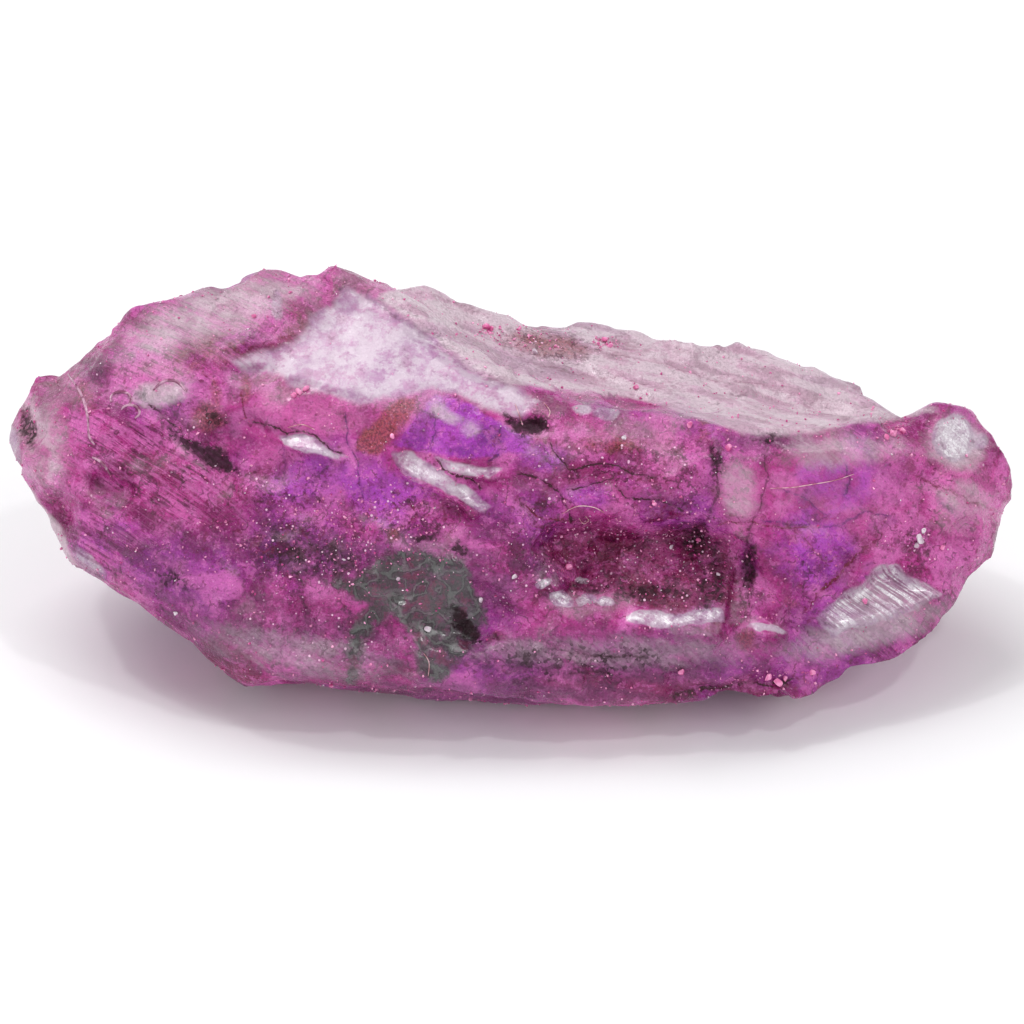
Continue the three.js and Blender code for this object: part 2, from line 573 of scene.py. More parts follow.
# Shapes that are both cut and stained.
GLOSS_BREAK = (
    (-13.4, 12.6), (-12.6, 12.8), (-10.5, 13.3), (-9.8, 14.0), (-9.4, 14.7), (-8.6, 15.1), (-7.8, 16.0),
    (-6.3, 15.4), (-4.2, 14.1), (-3.3, 13.3), (-2.0, 12.2), (0.1, 11.3), (1.4, 10.6), (0.5, 9.7),
    (-0.4, 9.8), (-1.7, 10.4), (-2.7, 11.0), (-3.6, 11.1), (-5.6, 10.7), (-7.2, 10.4), (-7.9, 10.6),
    (-10.3, 11.3), (-11.0, 11.8), (-12.9, 12.0),
)  # fmt: skip
LEFT_NOTCH = (
    (-16.5, 9.4), (-15.6, 8.8), (-14.4, 8.4), (-13.6, 8.1), (-12.9, 7.2), (-13.7, 7.2), (-14.7, 7.7),
    (-15.6, 8.2), (-16.4, 8.9),
)  # fmt: skip
VIOLET_PANEL = (
    (-5.6, 8.6), (-4.2, 10.0), (-3.6, 10.8), (-2.5, 10.7), (-1.4, 10.1), (-0.4, 9.5), (0.1, 9.1), (1.0, 8.9),
    (0.9, 8.2), (-1.0, 7.9), (-2.5, 7.9), (-3.8, 8.0), (-5.2, 8.3),
)  # fmt: skip
LONG_LEDGE = (
    (-5.6, 8.1), (-4.7, 8.1), (-3.9, 7.6), (-3.0, 7.1), (-1.9, 6.3), (-1.0, 5.5), (-1.4, 5.3), (-2.5, 5.9),
    (-3.6, 6.5), (-4.9, 7.1),
)  # fmt: skip
RIDGE_NOTCH = (
    (-0.4, 9.9), (0.4, 9.6), (1.0, 9.8), (1.7, 9.8), (2.0, 9.4), (1.2, 9.0), (0.4, 8.9), (0.0, 9.3),
)  # fmt: skip
SHORT_LEDGE = ((-3.5, 7.9), (-2.5, 7.7), (-1.6, 7.4), (-0.4, 7.3), (-1.0, 6.9), (-2.2, 7.1), (-3.0, 7.4))
CRACK_LEDGE = (
    (-11.1, 8.9), (-10.3, 9.0), (-9.7, 9.0), (-9.1, 8.6), (-8.4, 8.2), (-7.8, 7.9), (-8.7, 7.9), (-9.8, 8.2),
    (-10.8, 8.5),
)  # fmt: skip
POCKET = (
    (2.1, 4.3), (3.2, 4.9), (4.7, 4.6), (6.3, 4.3), (8.2, 4.6), (9.4, 4.5), (10.6, 3.8), (11.0, 2.2),
    (10.8, 1.0), (10.0, 0.8), (7.9, 0.6), (6.3, 0.7), (5.8, 1.3), (4.0, 1.5), (3.0, 1.5), (2.7, 2.6),
    (1.8, 3.0),
)  # fmt: skip
POCKET_FLOOR = (
    (5.4, 0.3), (6.3, 0.6), (7.4, 0.5), (7.9, 0.3), (8.8, 0.6), (10.1, 0.6), (10.2, 0.1), (8.8, -0.1),
    (7.1, -0.2), (6.0, 0.0),
)  # fmt: skip
COMBED_BREAK = (
    (14.7, 0.2), (15.5, 1.1), (16.9, 1.9), (17.6, 2.7), (18.4, 2.8), (19.1, 2.1), (19.8, 1.9), (20.5, 1.4),
    (19.4, 0.7), (17.9, 0.2), (16.7, -0.1), (15.4, -0.6),
)  # fmt: skip
FILM_ARCH = (
    (-8.8, 2.0), (-7.5, 2.3), (-6.4, 2.9), (-5.2, 3.4), (-3.6, 3.4), (-2.2, 2.9), (-1.5, 1.3), (-1.1, -0.1),
    (-1.9, -1.1), (-2.5, -2.4), (-3.6, -3.0), (-4.2, -2.4), (-4.7, -0.8), (-5.6, 0.4), (-6.4, -0.1),
    (-7.0, -1.1), (-7.4, -2.9), (-7.8, -3.0), (-7.8, -1.5), (-7.4, -0.1), (-6.6, 0.9), (-8.0, 1.3),
)  # fmt: skip
RUST_BAND = (
    (-7.5, 8.2), (-6.9, 9.1), (-6.0, 10.0), (-5.2, 10.7), (-4.2, 10.8), (-4.9, 9.7), (-5.8, 8.7), (-6.4, 7.9),
)  # fmt: skip
SKY_FACE = (
    (-6.3, 15.4), (-4.2, 14.1), (-2.0, 12.2), (0.1, 11.3), (2.4, 11.1), (4.6, 10.9), (7.0, 10.4), (9.4, 9.6),
    (11.9, 8.9), (14.1, 9.1), (16.1, 9.4), (20.3, 10.1), (17.0, 11.6), (14.0, 13.4), (8.0, 14.2), (0.0, 15.4),
    (-5.0, 16.4),
)  # fmt: skip
LOBE_BAND = (
    (-23.6, 11.0), (-22.9, 11.3), (-22.3, 10.2), (-21.6, 8.8), (-21.2, 7.6), (-21.7, 6.6), (-22.3, 6.9),
    (-22.1, 8.0), (-22.8, 9.2), (-23.4, 10.3),
)  # fmt: skip

FRONT_SHAPES: tuple[Mark, ...] = (
    # The outline: the notch above the left lobe, the rear hump and the small lobe under the left keel.
    Pull(Blot((-20.7, 12.5), (0.9, 0.8)), (0, -0.3)),
    Pull(Blot((-22.4, 12.0), (1.0, 0.9)), (0, 0.2)),
    Pull(Blot((-19.3, 14.4), (0.9, 0.8)), (0.1, -0.3)),
    Pull(Blot((-12.0, 15.9), (1.4, 0.8), 12), (0, 0.4)),
    Pull(Blot((-8.1, 16.0), (0.8, 0.8)), (0, 0.6)),
    Pull(Blot((-4.8, 15.6), (2.4, 1.2), -16), (0, 0.6)),
    Pull(Blot((-1.2, 14.6), (1.2, 0.8), -16), (0, 0.3)),
    Pull(Blot((9.6, 13.2), (1.6, 0.8), -10), (0, 0.45)),
    Pull(Blot((18.7, 10.3), (0.9, 0.7)), (0, -0.35)),
    Pull(Blot((21.4, 10.0), (1.3, 0.8)), (0, 0.6)),
    Pull(Blot((-11.9, -2.4), (1.6, 0.8), -10), (0, -0.6)),
    Pull(Blot((13.1, -3.2), (1.4, 0.7), 8), (0, -0.5)),
    Pull(Blot((-21.0, 3.2), (1.4, 1.0), -40), (-0.45, -0.1)),
    Pull(Blot((-13.4, -1.9), (1.7, 0.8), -30), (-0.1, -0.7)),
    Pull(Blot((22.2, 2.0), (1.2, 1.2), 50), (-0.1, 0.5)),
    # The striated skin that stands above the glossy break.
    Ledge(
        ((-13.6, 12.3), (-12.6, 12.9), (-10.5, 13.3), (-9.8, 14.0), (-9.4, 14.7), (-8.0, 15.4)),
        -0.35,
        4.5,
    ),
    # The sharp ridge behind the glossy break.
    Crack(
        ((-7.2, 15.8), (-5.0, 14.3), (-3.2, 12.9), (-1.6, 11.9), (0.3, 11.2)),
        0.2,
        0.15,
        Tint.CRIMSON,
        0.7,
    ),
    # Low steps and fine cracks of the hazy face behind the ridge.
    Ledge(((-1.0, 12.9), (2.0, 12.3), (5.0, 11.7), (8.5, 10.9), (11.0, 10.2)), 0.2, 1.2),
    Ledge(((4.4, 13.0), (7.4, 12.3), (10.4, 11.5), (14.0, 10.9)), 0.18, 1.0),
    Crack(((0.4, 12.5), (3.0, 11.9), (5.2, 11.7), (7.5, 11.2)), 0.16, 0.08, Tint.CRIMSON, 0.7),
    Crack(((4.6, 12.9), (7.0, 12.5), (9.6, 11.6), (12.6, 11.3)), 0.14, 0.08, Tint.CRIMSON, 0.6),
    Crack(((2.6, 11.2), (4.4, 10.9), (6.2, 10.2), (8.2, 9.9)), 0.14, 0.06, Tint.INDIGO, 0.5),
    # The left lobe, which lies under the edge of the main body.
    Ledge(((-20.2, 7.0), (-19.8, 8.5), (-20.0, 9.0), (-20.1, 9.7), (-20.4, 10.8), (-21.1, 12.0)), 0.45, 2.2),
    Dent(Blot((-22.9, 9.1), (1.2, 0.5), -77), 0.25),
    # The small glassy lump.
    Dent(Blot((-16.2, 11.0), (0.9, 0.5), -15), -0.3),
    Dent(Patch(LEFT_NOTCH, 0.3), 0.4),
    Crack(((-17.3, 10.6), (-16.8, 10.1), (-15.6, 9.0)), 0.2, 0.2),
    # The crack with a pale glassy ledge under it.
    Crack(((-12.8, 11.1), (-12.7, 10.0), (-12.5, 9.6)), 0.13, 0.1, Tint.CRIMSON),
    Crack(((-12.5, 9.6), (-11.4, 9.3), (-10.6, 9.1), (-9.8, 9.2), (-9.1, 8.8), (-8.4, 8.3), (-7.7, 8.0))),
    Ledge(((-11.4, 8.9), (-9.8, 9.05), (-9.1, 8.65), (-7.6, 7.9)), 0.45, 1.2),
    # Stepped pale ledges in the middle.
    Ledge(((-5.9, 8.2), (-4.7, 8.1), (-3.9, 7.6), (-3.0, 7.1), (-1.9, 6.3), (-0.9, 5.4)), 0.75, 1.6),
    Ledge(((-3.9, 8.0), (-2.5, 7.7), (-1.6, 7.4), (-0.2, 7.3)), 0.5, 0.8),
    Crack(((-3.6, 7.9), (-2.9, 7.2), (-1.9, 6.9), (-1.3, 6.2)), 0.2, 0.25),
    # The maroon pocket on the right and the shining ledge that floors it.
    Dent(Patch(POCKET, 0.6), 0.8),
    Dent(Blot((8.6, 3.6), (0.8, 1.1), 20), 0.6),
    Dent(Blot((6.6, 1.6), (1.3, 0.5), 0), 0.5),
    Dent(Blot((3.6, 2.8), (0.9, 0.6), 30), 0.3),
    Ledge(((2.0, 1.6), (3.4, 1.3), (5.2, 0.6), (7.6, 0.5), (10.8, 0.6)), 0.6, 2.5),
    Ledge(((1.0, 2.4), (1.9, 2.2), (2.9, 1.9)), 0.5, 0.8),
    Ledge(((10.9, -0.1), (12.2, -0.2), (13.9, -0.6)), 0.5, 1.2),
    # The upright seam to the right of the pocket, and the dark line to its left.
    Crack(
        ((12.1, 8.8), (12.3, 7.0), (11.9, 5.7), (11.5, 4.6), (11.2, 3.5), (11.4, 2.2), (11.5, -0.1)),
        0.18,
        0.15,
        strength=0.7,
    ),
    Crack(((9.5, 8.6), (9.9, 7.3), (9.9, 6.0), (9.4, 4.9), (8.9, 4.4), (8.8, 3.0)), 0.25, 0.2, strength=0.7),
    Crack(((9.4, 4.6), (11.6, 4.8), (13.6, 4.5), (15.0, 4.5)), 0.12, 0.08, Tint.CRIMSON, 0.9),
    Crack(((18.1, 4.6), (15.6, 2.3), (13.8, 0.4)), 0.3, 0.2, Tint.CRIMSON),
    Crack(((13.8, 4.3), (15.0, 2.9), (15.8, 3.2)), 0.16, 0.08, Tint.CRIMSON, 0.8),
    Crack(((15.7, 9.2), (15.8, 8.0), (16.2, 6.8), (15.9, 5.9)), 0.16, 0.08, Tint.INDIGO, 0.9),
    Crack(((11.7, 5.0), (13.3, 4.7), (15.2, 4.5), (16.9, 5.2), (18.4, 5.1)), 0.2, 0.1, Tint.INDIGO, 0.9),
    Crack(((13.0, 6.4), (14.2, 5.8), (15.2, 5.0)), 0.18, 0.08, Tint.INDIGO, 0.8),
    Crack(((19.2, 7.0), (20.8, 6.4), (22.0, 5.8), (23.0, 5.4)), 0.25, 0.15, Tint.CRIMSON, 0.8),
    Flat(Patch(COMBED_BREAK, 0.2), (0.15, -0.4, 0.9), 0.1),
    Flat(Patch(POCKET_FLOOR, 0.25), (0.05, -0.3, 0.95)),
    Flat(Patch(CRACK_LEDGE, 0.2), (-0.1, -0.35, 0.93)),
    Flat(Patch(LONG_LEDGE, 0.2), (0.2, -0.35, 0.92)),
    Flat(Patch(SHORT_LEDGE, 0.2), (0.1, -0.3, 0.95)),
    # The groove along the lower edge.
    Crack(((7.5, -3.4), (9.7, -3.2), (11.9, -2.9), (13.8, -2.8)), 0.3, 0.3),
    Crack(((1.9, -1.2), (4.7, -1.6), (6.6, -1.6)), 0.16, 0.1, strength=0.7),
    Crack(((2.7, -2.4), (4.8, -2.4)), 0.22, 0.1, Tint.CRIMSON, 0.9),
    # Holes of the wrinkled film.
    Dent(Blot((-2.3, -0.1), (1.3, 0.45), -52), 0.8),
    Dent(Blot((-5.3, 1.2), (0.55, 0.25), 0), 0.3),
    Dent(Blot((-5.5, -0.7), (0.9, 0.35), 0), 0.3),
    Dent(Blot((-5.2, -2.2), (0.9, 0.3), 0), 0.3),
    # Cracks that cross the middle from top to bottom.
    Crack(((-7.8, 10.2), (-7.7, 8.5), (-7.3, 7.7), (-7.2, 6.6), (-6.9, 5.5)), 0.12, 0.08, Tint.INDIGO),
    Crack(((-10.9, 8.5), (-10.8, 6.7)), 0.2, 0.0, Tint.INDIGO, 0.6),
    Crack(((-3.3, 10.6), (-3.6, 9.1), (-3.8, 8.0)), 0.16, 0.08, Tint.INDIGO),
    Crack(((-0.4, 9.4), (-0.7, 8.8), (-0.4, 8.2), (-1.2, 7.6)), 0.2, 0.08, Tint.INDIGO),
    Crack(((0.1, 7.1), (1.3, 6.9), (2.4, 6.3), (3.0, 4.6)), 0.15, 0.15),
    Crack(((1.7, 9.1), (2.1, 8.2), (2.9, 7.2), (4.4, 7.7), (6.0, 7.1), (7.2, 6.9)), 0.14, 0.12),
    Crack(((2.4, 6.3), (3.8, 6.5), (5.2, 6.9)), 0.13, 0.12),
    Crack(((0.1, 6.0), (1.6, 4.9), (3.2, 4.9)), 0.16, 0.12, Tint.CRIMSON),
    Crack(((4.9, 6.7), (5.6, 6.0), (7.0, 5.9), (8.4, 5.2)), 0.16, 0.15),
    # The dark notch under the main ridge.
    Dent(Blot((0.8, 9.4), (0.9, 0.35), -8), 0.5),
)

FRONT_STAINS: tuple[Stain, ...] = (
    # Dark stains, and painted shade in the notches, the pocket, the film's holes and low on the front.
    Stain(Tint.NIGHT, (
        Patch(LEFT_NOTCH, 0.3),
        Patch(RIDGE_NOTCH, 0.25),
        Blot((-22.95, 9.3), (0.35, 0.9), 12, 0.65),
        Blot((8.9, 3.8), (0.9, 1.1), 0, 0.6),
        Blot((9.6, 2.2), (0.8, 1.6), 0, 0.6),
        Blot((6.7, 1.5), (1.6, 0.4), 0, 0.65),
        Blot((-2.2, -0.1), (1.1, 0.4), -52),
        Blot((11.4, 2.6), (0.35, 1.1), -8, 0.7),
        Blot((-9.2, 3.0), (2.6, 0.9), 0, 0.5),
        Blot((3.0, -1.8), (5.0, 0.9), 0, 0.42),
        Blot((-11.2, 4.3), (0.3, 0.5), 0, 0.6),
        Blot((-15.9, 2.0), (1.0, 0.5), -20, 0.5),
        Blot((-4.2, 4.0), (0.6, 0.2), 0, 0.9),
        Blot((-2.4, 3.5), (0.5, 0.5), 0, 0.7),
        Blot((9.8, 7.6), (0.35, 0.9), 0, 0.6),
        Blot((12.3, 8.7), (0.5, 0.3), 0, 0.6),
        Blot((-14.2, 9.9), (0.6, 0.4), -20, 0.6),
        Blot((4.0, 1.7), (1.4, 0.3), 0, 0.5),
    )),
    Stain(Tint.CRIMSON, (
        # The pocket's crimson is partly painted shade in its hollow.
        Patch(POCKET, 0.5),
        Blot((5.4, 7.4), (3.4, 1.6), 0, 0.42),
        Blot((-5.2, -2.1), (1.0, 0.35), 0, 0.9),
        Blot((-5.3, 1.2), (0.5, 0.3), 0, 0.9),
        Blot((-8.1, 1.5), (0.45, 0.15), 0, 0.9),
        Blot((-17.0, 7.4), (2.4, 0.7), -28, 0.5),
        Blot((-13.2, 6.4), (0.9, 0.3), -20, 0.6),
        Blot((2.2, 13.2), (1.9, 0.5), -5, 0.6),
        Blot((-11.2, 13.3), (2.0, 0.25), 18, 0.8),
        Blot((-17.2, 3.8), (1.4, 0.3), -20, 0.5),
        Blot((-13.4, -1.8), (1.8, 0.8), -30, 0.9),
        Blot((-23.0, 9.4), (0.35, 0.9), 15),
        Blot((-19.6, 11.9), (0.6, 1.2), 20, 0.7),
        # Partly painted shade along the groove low on the front.
        Blot((6.0, -3.2), (9.0, 0.8), 0, 0.7),
        Blot((5.5, 13.2), (1.0, 0.5), -10, 0.8),
    )),
    Stain(Tint.RUST, (
        Patch(RUST_BAND, 0.25),
        Blot((-14.4, 9.8), (0.8, 0.7), -10, 0.9),
        Blot((-14.0, 10.9), (0.3, 1.0), 10, 0.7),
        Blot((-12.6, 11.1), (0.3, 0.8), 0, 0.6),
        Blot((-5.6, 4.2), (0.25, 0.4), 10, 0.8),
        Blot((11.3, -0.9), (0.5, 0.6), 30, 0.8),
        Blot((1.6, 13.2), (2.2, 0.7), -8, 0.8),
        Blot((4.7, 8.5), (1.6, 0.5), 0, 0.6),
        Blot((9.2, 9.2), (0.4, 0.6), 30, 0.5),
        Blot((-20.2, 11.0), (0.4, 1.0), 20, 0.5),
        Blot((-13.0, 13.4), (4.4, 1.2), 18, 0.4),
        Blot((13.4, 1.0), (0.4, 0.3), 0, 0.5),
    )),
    Stain(Tint.INDIGO, (
        Blot((-9.4, 3.4), (2.8, 1.2), 0, 0.9),
        Blot((11.4, 3.0), (0.6, 1.1), 0, 0.8),
        Blot((-18.9, 5.6), (0.9, 0.4), -20, 0.5),
        Blot((17.6, 4.7), (0.9, 0.35), 20, 0.6),
        Blot((-1.0, 1.8), (1.6, 1.6), 0, 0.4),
        # The two long blots low on the front are partly painted shade, darker towards the bottom.
        Blot((4.0, -1.6), (7.0, 0.9), 0, 0.6),
        Blot((-9.0, -1.2), (5.0, 0.9), -8, 0.5),
        Blot((1.7, 2.4), (1.0, 0.6), -30, 0.6),
        Blot((0.3, 5.4), (1.6, 1.0), 0, 0.45),
        Blot((-0.9, 8.9), (0.7, 0.6), 0, 0.8),
        Blot((-4.4, 9.0), (0.5, 0.9), -30, 0.6),
        Blot((-2.2, 8.2), (1.2, 0.3), 0, 0.6),
    )),
    Stain(Tint.VIOLET, (
        Patch(VIOLET_PANEL, 0.2),
        Blot((-6.0, 6.2), (2.4, 1.4), 0, 0.65),
        Blot((-9.4, 6.8), (2.4, 1.2), 0, 0.6),
        Blot((14.6, 3.4), (2.2, 2.2), 0, 0.6),
        Blot((15.6, 6.6), (2.4, 1.2), -10, 0.5),
        Blot((-18.4, 3.4), (2.2, 1.6), -40, 0.4),
        Blot((1.8, 7.9), (1.2, 0.7), 0, 0.7),
        Blot((3.8, 6.0), (1.4, 0.7), 0, 0.55),
    )),
    Stain(Tint.ROSE, (
        Blot((-9.6, 10.0), (3.0, 1.0), -10),
        Blot((-17.0, 11.8), (2.4, 0.8), 0, 0.8),
        Blot((-11.0, 7.6), (1.6, 0.7), -20, 0.8),
        Blot((21.8, 5.6), (2.0, 2.2), 0, 0.9),
        Blot((18.6, 7.8), (1.4, 1.0), 0, 0.8),
        Blot((-19.4, 4.6), (1.6, 1.2), -30, 0.6),
        Blot((11.4, 12.4), (2.6, 0.8), -18, 0.8),
        Blot((7.8, 7.6), (2.4, 1.6), 0, 0.9),
        Blot((4.6, 6.2), (1.8, 0.9), 0, 0.6),
        Blot((-9.0, 6.0), (2.6, 1.4), 0, 0.5),
        Blot((10.9, 6.2), (1.2, 2.2), 6, 0.9),
        Blot((17.0, 6.0), (3.0, 2.4), 0, 0.5),
    )),
    # The pale breaks and ledges, with painted highlights and painted reflections: the glossy break, the
    # ledges, the pocket's floor, the white spot on the right end and small white glints.
    Stain(Tint.PALE, (
        Patch(GLOSS_BREAK, 0.6, 0.9),
        Blot((-7.8, 14.5), (1.2, 0.5), 0),
        Patch(CRACK_LEDGE, 0.3, 1.2),
        Patch(LONG_LEDGE, 0.3, 1.2),
        Patch(SHORT_LEDGE, 0.3, 1.2),
        Blot((21.2, 8.8), (0.8, 0.9), 0, 2.6),
        Blot((1.6, 1.9), (0.35, 0.2), 20, 1.4),
        Blot((2.5, 1.1), (0.5, 0.3), -20, 1.6),
        Blot((3.6, 1.1), (0.5, 0.2), 10, 1.2),
        Blot((4.6, 1.0), (0.4, 0.2), 0, 1.4),
        Blot((3.4, 2.0), (0.3, 0.15), 0, 1.3),
        Blot((22.3, 8.7), (0.5, 0.4), 0, 0.8),
        Patch(COMBED_BREAK, 0.35, 1.25),
        Patch(POCKET_FLOOR, 0.2, 1.3),
        Blot((12.2, -0.3), (0.9, 0.2), -6),
        Blot((-20.0, 2.8), (1.0, 0.4), -45, 0.9),
        Blot((-23.6, 8.4), (0.3, 1.6), 10, 0.6),
        Blot((3.5, 10.2), (0.5, 0.3), 0, 0.9),
        Blot((4.6, 10.0), (0.6, 0.3), -10, 0.9),
        Blot((-11.1, 15.0), (0.3, 0.9), 0, 0.7),
    )),
    # Pale dust, and painted sheen on faces that catch the light, most on those that look up; on the lobe's
    # thin rim it is a painted glow.
    Stain(Tint.HAZE, (
        Patch(SKY_FACE, 0.3),
        Blot((-14.2, 14.7), (5.0, 1.4), 18, 0.62),
        Blot((-22.4, 8.6), (1.4, 2.6), 10, 0.45),
        Patch(LOBE_BAND, 0.4, 0.6),
        Blot((-23.9, 9.0), (0.25, 1.6), 8, 0.9),
        Blot((-10.0, -1.4), (5.4, 1.1), -10, 0.42),
        Blot((5.0, -1.4), (8.0, 0.8), 0, 0.38),
        Blot((17.0, -0.4), (4.0, 0.9), 14, 0.6),
        Blot((-21.9, 4.6), (0.3, 2.4), 32, 0.9),
        Blot((-16.8, 10.9), (1.4, 0.6), 0, 0.8),
        Blot((10.9, 6.2), (0.9, 1.8), 6, 0.5),
        Blot((21.2, 8.6), (1.4, 1.2), 0, 0.75),
        Blot((16.0, 8.2), (3.4, 0.8), 4, 0.5),
        Blot((-3.1, 10.0), (0.9, 0.4), -30, 0.6),
        Blot((-1.9, 9.2), (0.5, 0.5), 0, 0.5),
        Blot((21.6, 5.6), (1.6, 1.4), 0, 0.5),
    )),
    Stain(Tint.CRUMBLY, (
        Blot((-9.2, 3.6), (3.8, 2.0), 0, 1),
        Blot((-4.8, 5.2), (3.0, 1.4), 0, 0.7),
        Blot((-12.6, 6.4), (2.4, 1.0), -15, 0.8),
        Blot((0.6, 3.4), (2.2, 2.6), 0, 0.8),
        Patch(POCKET, 0.9, 0.8),
        Blot((2.0, 13.2), (2.4, 0.8), -6, 1),
        Blot((6.2, 7.6), (3.4, 1.4), 0, 0.7),
        Blot((19.4, 3.4), (0.8, 1.2), 0, 1),
        Blot((-9.0, -0.6), (4.6, 1.6), -10, 0.6),
        Blot((12.6, 8.2), (1.0, 0.8), 0, 0.8),
        Blot((11.4, 1.6), (0.6, 2.2), 0, 0.8),
    )),
    # Painted shade: darker low on the front and under the edges of the lobe and the notch.
    Stain(Tint.MURK, (
        Blot((-10.0, -0.8), (7.0, 1.8), -10, 0.75),
        Blot((5.0, -1.6), (9.0, 1.5), 0, 0.8),
        Blot((17.0, -0.4), (5.0, 1.2), 14, 0.6),
        Blot((-4.0, 2.0), (6.0, 2.6), 0, 0.65),
        Blot((-16.0, 1.4), (4.0, 1.6), -40, 0.5),
        Blot((-14.4, 9.6), (2.4, 1.0), -20, 0.5),
        Blot((-19.6, 11.6), (0.8, 1.6), 20, 0.5),
        Blot((12.5, 8.6), (3.0, 0.6), 0, 0.6),
        Blot((-2.0, -3.4), (9.0, 0.8), 0, 0.8),
    )),
    Stain(Tint.COMBED, (
        Patch(SKY_FACE, 0.5),
        Blot((-10.0, -1.0), (6.4, 1.8), -10),
        Blot((5.0, -1.8), (9.0, 1.6), 0),
        Blot((17.0, -0.2), (5.0, 1.4), 14),
    )),
    Stain(Tint.FILM, (Patch(FILM_ARCH, 0.6), Blot((-17.3, 10.9), (0.8, 0.4), 0, 0.5))),
    Stain(Tint.GLASSY, (
        Patch(GLOSS_BREAK, 0.25),
        Patch(CRACK_LEDGE, 0.2),
        Patch(LONG_LEDGE, 0.2),
        Patch(SHORT_LEDGE, 0.2),
        Patch(COMBED_BREAK, 0.2, 0.8),
        Patch(POCKET_FLOOR, 0.2),
        Patch(VIOLET_PANEL, 0.3, 0.2),
        Blot((12.2, -0.3), (1.0, 0.3), -6),
        Blot((15.0, 6.4), (3.0, 2.0), 0, 0.6),
        Blot((-9.6, 10.0), (3.0, 1.0), -10, 0.35),
    )),
    Stain(Tint.GRAINED, (
        Blot((-15.0, 14.0), (5.4, 2.2), 18),
        Blot((-17.0, 7.6), (4.4, 2.4), -28),
        Patch(COMBED_BREAK, 0.3),
        Blot((19.0, 0.0), (4.0, 1.2), 20),
        Blot((-19.0, 3.6), (2.4, 2.0), -40, 0.8),
        Blot((14.6, 5.4), (3.0, 3.0), 0, 0.25),
    )),
)  # fmt: skip


BACK_BREAK = (
    (-12.5, 7.5), (-8.0, 9.0), (-3.5, 8.2), (-1.0, 5.5), (-2.5, 2.5), (-7.0, 1.5), (-11.5, 3.0), (-13.2, 5.2),
)  # fmt: skip
BACK_STEP = ((4.0, 6.0), (6.5, 6.6), (9.5, 6.2), (12.0, 5.0), (11.6, 4.5), (9.0, 5.5), (6.4, 5.9), (4.2, 5.4))

BACK_SHAPES: tuple[Mark, ...] = (
    Flat(Patch(BACK_BREAK, 0.5), (0.15, 0.9, 0.4), 0.1),
    Ledge(((3.5, 5.8), (6.5, 6.2), (9.5, 5.9), (12.4, 4.6)), 0.5, 1.6),
    Ledge(((-19.5, 5.2), (-16.8, 6.4), (-14.6, 6.0), (-13.0, 4.6)), 0.4, 1.8),
    Crack(((0.6, 11.0), (0.2, 8.8), (1.1, 6.4), (0.4, 3.6), (1.6, 1.0)), 0.22, 0.25),
    Crack(((1.1, 6.4), (3.4, 4.0), (6.2, 3.2), (9.8, 1.6)), 0.16, 0.15, Tint.CRIMSON),
    Crack(((14.0, 8.0), (15.2, 5.6), (14.4, 3.2)), 0.18, 0.15),
    Crack(((-18.5, 8.4), (-15.0, 7.6), (-12.6, 7.8)), 0.14, 0.1, Tint.INDIGO),
    Dent(Blot((6.5, 8.6), (1.6, 0.7), 10), 0.5),
    Dent(Blot((-16.5, 3.0), (1.8, 0.8), -20), 0.4),
)

BACK_STAINS: tuple[Stain, ...] = (
    # Painted shade in the two hollows of the back.
    Stain(Tint.NIGHT, (Blot((6.5, 8.6), (1.2, 0.5), 10, 0.7), Blot((-16.5, 3.0), (1.2, 0.5), -20, 0.6))),
    Stain(Tint.CRIMSON, (
        Blot((6.0, 8.4), (3.2, 1.4), 10, 0.8),
        Blot((-16.5, 3.0), (3.0, 1.4), -20, 0.7),
        Blot((14, 4), (2, 2), 0, 0.5),
    )),
    Stain(Tint.RUST, (Blot((0.4, 7.6), (0.8, 1.6), 10, 0.8), Blot((13.6, 7.2), (1.2, 0.7), 0, 0.7))),
    Stain(Tint.INDIGO, (Blot((2.8, 2.4), (2.4, 1.4), 20, 0.7), Blot((-13.4, 2.0), (2.0, 1.0), 0, 0.6))),
    Stain(Tint.VIOLET, (Blot((9.0, 3.6), (3.0, 1.4), -10, 0.7), Blot((-17.5, 6.8), (2.0, 1.0), 0, 0.7))),
    Stain(Tint.ROSE, (Blot((17.4, 6.0), (2.4, 2.0), 0, 0.8), Blot((3.8, 9.4), (2.4, 0.8), 0, 0.6))),
    # Pale back step and break, with painted highlights.
    Stain(Tint.PALE, (Patch(BACK_STEP, 0.25, 1.1), Blot((-7.4, 7.4), (1.6, 0.5), -10, 0.7))),
    # Pale dust and painted sheen on the back.
    Stain(Tint.HAZE, (Patch(BACK_BREAK, 0.9, 0.6), Blot((10.0, 9.4), (6.0, 1.2), 4, 0.7))),
    # Painted shade low on the back.
    Stain(Tint.MURK, (Blot((0, 0.6), (18, 1.4), 0, 0.8), Blot((-8.0, 1.2), (5.0, 1.4), 0, 0.5))),
    Stain(Tint.CRUMBLY, (Blot((6.0, 8.0), (3.6, 1.8), 10, 0.9), Blot((-15.5, 3.0), (3.0, 1.8), -20, 0.8))),
    Stain(Tint.GLASSY, (Patch(BACK_BREAK, 0.6, 0.45), Patch(BACK_STEP, 0.2))),
    Stain(Tint.GRAINED, (Blot((14, 5), (5, 4)), Blot((-17, 5), (4, 4)), Blot((4, 2), (5, 2)))),
    Stain(Tint.COMBED, (Blot((4.0, 9.6), (9.0, 1.4), 0), Blot((0.0, 0.8), (16.0, 1.4), 0))),
)  # fmt: skip

